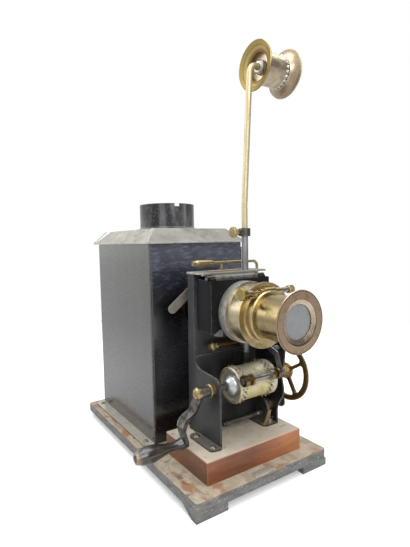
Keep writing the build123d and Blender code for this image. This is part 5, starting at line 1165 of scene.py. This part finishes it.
@dataclass
class ReelSupport(SubAssembly):
    """Tall rod with its clamp, and the feed reel."""

    reel: Point = (0.0, -65.0, 351.5)
    tube: Point = (21.5, -63.0, 210.3)
    screw: Point = (0.0, -63.0, 206.5)
    band_radius: float = 13.95
    grips: int = 22
    grip_x: float = 59.6
    pit_x: float = 61.2

    def build(self) -> None:
        """Dresses the rod and reel, and adds the rod's sleeve, the bush, the milling and the band."""
        bands = (Band(39.6, "#cdbfa8"), Band(63.2, "#b3a28b"))
        rings = (
            Band(4.0, "#8f7a5a"), Band(11.4, "#8a6a48"), Band(14.2, "#b5a268"), Band(17.0, "#94814f"),
            Band(17.8, "#b3a064"),
        )
        spun = TurnedMetal(
            "Spun_brass_reel", "#a8955e", "#6a5637", "#e3d5a9", 0.25, 0.36,
            Axis.X, self.reel, 1.0, bands, rings,
        )
        self.dress(spun, "feed_reel")
        profile = [(40.9, 3.1), (40.9, 6.4), (37.8, 6.0), (36.4, 4.6), (36.4, 3.1)]
        silver = PlainMetal("Silvered_reel_bush", "#c9c7c2", "#75706a", "#f0eee9", 0.5, 0.3)
        self.fit("reel_bush", lathe(profile, Axis.X, self.reel), silver, "reel", "nickel")
        rod = PlainMetal(
            "Drawn_brass_reel_rod", "#cfc4a0", "#9d8f6c", "#f1e8c4", 0.3, 0.44, 0.8, (1, 1, 0.05), 1.4, 0.004
        )
        self.dress(rod, "reel_arm")
        corners = [self.tube, (*self.tube[:2], 230), (27.6, *self.reel[1:]), (39.8, *self.reel[1:])]
        sleeve = drawn_wire(bent_route(corners, (60.0, 7.0)), 2.65, 24)
        self.fit("reel_arm_sleeve", sleeve, rod, "reel_support", "brass")
        clamp = TurnedMetal(
            "Turned_brass_clamp", "#6f6a60", "#3d3a35", "#b3ab99", 0.6, 0.36, Axis.Z, (*self.tube[:2], 0)
        )
        self.dress(clamp, "arm_clamp")
        thumb = TurnedMetal(
            "Turned_brass_thumb_screw", "#b3a078", "#74603a", "#efdfaf", 0.4, centre=self.screw
        )
        self.dress(thumb, "thumb_screw")
        ring = milled_ring(Axis.X, self.screw, 7.3, 9.7, 4.5, 30, 0.35)
        self.fit("thumb_screw_milling", ring, thumb, "clamp_screw", "brass", 20)
        self.add_band()

    def add_band(self) -> None:
        """Silver band of points that grips the film's end, with a dark pit beside each point."""
        silver = PlainMetal("Silvered_reel_band", "#c9cbca", "#85857f", "#eeeeea", 0.35, 0.3)
        dark = PlainMetal("Oil_black_pit", "#2a2824", "#141210", "#4a443a", 0.5, 0.6, 0.2)
        points, pits = [], []
        outline = ((-1.6, 0), (1.3, -1.7), (1.9, 0), (1.3, 1.7))
        for turn in turns(self.grips):
            spot, out, along = on_wheel((self.grip_x, *self.reel[1:]), self.band_radius, turn)
            work = bmesh.new()
            foot = [spot + Vector((dx, 0, 0)) + along * dy for dx, dy in outline]
            ring = [work.verts.new(co * MM) for co in foot]
            peak = work.verts.new((spot + out * 0.9 + Vector((0.3, 0, 0))) * MM)
            skin(work, [ring, [peak]])
            work.faces.new(ring[::-1])
            points.append(work)
            # A pit lies halfway to the next point
            turn += math.pi / self.grips
            spot, out, along = on_wheel((self.pit_x, *self.reel[1:]), self.band_radius, turn)
            pits.append(oval(spot + out * 0.2, out, along, (0.8, 0.7)))
        self.fit("reel_band_points", joined(points), silver, "reel", "nickel", 20)
        self.fit("reel_band_pits", joined(pits), dark, "reel", "brass")


@dataclass
class Studio:
    """Camera, lights, floor and surroundings."""

    eye: Point = (-0.2132, -0.3477, 0.1982)
    yaw: float = 33.88
    pitch: float = 4.34
    roll: float = -1.09
    focal_pixels: float = 410.4
    frame_pixels: int = 410
    sensor: float = 36.0
    aim: Point = (0.0, 0.0, 0.15)

    def build(self) -> None:
        """Sets up everything round the object."""
        self.set_camera()
        self.lay_floor()
        self.hang_lights()
        self.light_surroundings()
        bpy.context.scene.view_settings.view_transform = "Standard"

    def set_camera(self) -> None:
        """Perspective camera at the viewing angle of the photograph."""
        yaw, pitch, roll = (math.radians(value) for value in (self.yaw, self.pitch, self.roll))
        level_ahead = Vector((math.sin(yaw), math.cos(yaw), 0))
        ahead = level_ahead * math.cos(pitch) - Vector((0, 0, math.sin(pitch)))
        level = Vector((math.cos(yaw), -math.sin(yaw), 0))
        upright = level.cross(ahead)
        right = level * math.cos(roll) + upright * math.sin(roll)
        up = upright * math.cos(roll) - level * math.sin(roll)
        turn = Matrix((right, up, -ahead)).transposed()
        lens = bpy.data.cameras.new("camera")
        lens.sensor_fit = "HORIZONTAL"
        lens.sensor_width = self.sensor
        lens.lens = self.sensor * self.focal_pixels / self.frame_pixels
        lens.clip_start = 0.01
        camera = put("camera", lens)
        camera.matrix_world = Matrix.Translation(self.eye) @ turn.to_4x4()
        bpy.context.scene.camera = camera

    def lay_floor(self) -> None:
        """White paper floor: it keeps the object's soft shadow, and farther out it is plain white."""
        work = bmesh.new()
        bmesh.ops.create_grid(work, x_segments=2, y_segments=2, size=6.0)
        mesh = bpy.data.meshes.new("floor")
        work.to_mesh(mesh)
        work.free()
        paper = bpy.data.materials.new("Matt_white_paper_floor")
        paper.use_nodes = True
        s = Surface(paper.node_tree)
        away = s.add("ShaderNodeVectorMath", {"operation": "LENGTH", 0: s.place}, "Value")
        far = s.add("ShaderNodeMapRange", {"Value": away, "From Min": 0.3, "From Max": 0.7})
        # To the camera the paper is a little brighter than it is lit, and white from afar
        body = s.add("ShaderNodeBsdfDiffuse", {"Color": "#f4f4f4"})
        lift = s.add("ShaderNodeEmission", {"Color": "#ffffff", "Strength": 0.22})
        near = s.add("ShaderNodeAddShader", {0: body, 1: lift})
        white = s.add("ShaderNodeEmission", {"Color": "#ffffff", "Strength": 1.0})
        seen = s.add("ShaderNodeMixShader", {0: far, 1: near, 2: white})
        # In the object's gloss it is a duller sheet
        dull = s.add("ShaderNodeBsdfDiffuse", {"Color": "#d0d0d0"})
        pale = s.add("ShaderNodeEmission", {"Color": "#dcdcdc", "Strength": 1.0})
        mirrored = s.add("ShaderNodeMixShader", {0: far, 1: dull, 2: pale})
        glossy_ray = s.add("ShaderNodeLightPath", {}, "Is Glossy Ray")
        camera_ray = s.add("ShaderNodeLightPath", {}, "Is Camera Ray")
        lit = s.add("ShaderNodeMixShader", {0: glossy_ray, 1: body, 2: mirrored})
        whole = s.add("ShaderNodeMixShader", {0: camera_ray, 1: lit, 2: seen})
        s.add("ShaderNodeOutputMaterial", {"Surface": whole})
        mesh.materials.append(paper)
        floor = put("floor", mesh)

    def hang_lights(self) -> None:
        """Large soft boxes: key from the crank side and behind, fill in front, and one overhead."""
        boxes = (
            ("key_box", (-1.3, 0.9, 1.1), 1.5, 12.0),
            ("fill_box", (-0.4, -1.6, 1.1), 1.3, 22.0),
            ("top_box", (0.2, -0.2, 1.9), 1.8, 30.0),
        )
        for name, spot, size, power in boxes:
            lamp = bpy.data.lights.new(name, "AREA")
            lamp.shape = "SQUARE"
            lamp.size = size
            lamp.energy = power
            turn = (Vector(self.aim) - Vector(spot)).to_track_quat("-Z", "Y")
            put(name, lamp).matrix_world = Matrix.Translation(spot) @ turn.to_matrix().to_4x4()

    def light_surroundings(self) -> None:
        """White backdrop behind the object, a dim room in front, and an even ambient light."""
        world = bpy.data.worlds.new("studio")
        bpy.context.scene.world = world
        world.use_nodes = True
        tree = world.node_tree
        tree.nodes.clear()
        look = add_node(tree, "ShaderNodeTexCoord", {}, "Generated")
        behind = {"operation": "DOT_PRODUCT", 0: look, 1: (-0.35, 0.93, 0.1)}
        facing = add_node(tree, "ShaderNodeVectorMath", behind, "Value")
        ends = {"Value": facing, "From Min": -0.75, "From Max": 0.15, "To Min": 0.16}
        room = add_node(tree, "ShaderNodeMapRange", {"interpolation_type": "SMOOTHSTEP", **ends})
        camera_ray, glossy_ray, through_ray = (
            add_node(tree, "ShaderNodeLightPath", {}, f"Is {kind} Ray")
            for kind in ("Camera", "Glossy", "Transmission")
        )
        mirrored = add_node(tree, "ShaderNodeMath", {"operation": "MULTIPLY", 0: glossy_ray, 1: room})
        # Seen directly, through glass or in gloss; first with the dim room in the gloss, then without
        sums = []
        for gloss in (mirrored, glossy_ray):
            seen = add_node(tree, "ShaderNodeMath", {"operation": "MAXIMUM", 0: camera_ray, 1: gloss})
            sums.append(add_node(tree, "ShaderNodeMath", {"operation": "MAXIMUM", 0: seen, 1: through_ray}))
        shown, viewed = sums
        level = add_node(tree, "ShaderNodeMix", {"data_type": "FLOAT", 0: viewed, 2: 0.5, 3: shown})
        light = add_node(tree, "ShaderNodeBackground", {"Color": "#ffffff", "Strength": level})
        add_node(tree, "ShaderNodeOutputWorld", {"Surface": light})


def main() -> None:
    """Builds every group in order."""
    logging.basicConfig(level=logging.INFO, format="%(message)s")
    Studio().build()
    for group in (
        WoodenBase, LampHouse, OilLamp, MechanismFrame, Drive, FilmGuides, LensTurret, Douser, ReelSupport
    ):
        group().build()


if __name__ == "__main__":
    main()
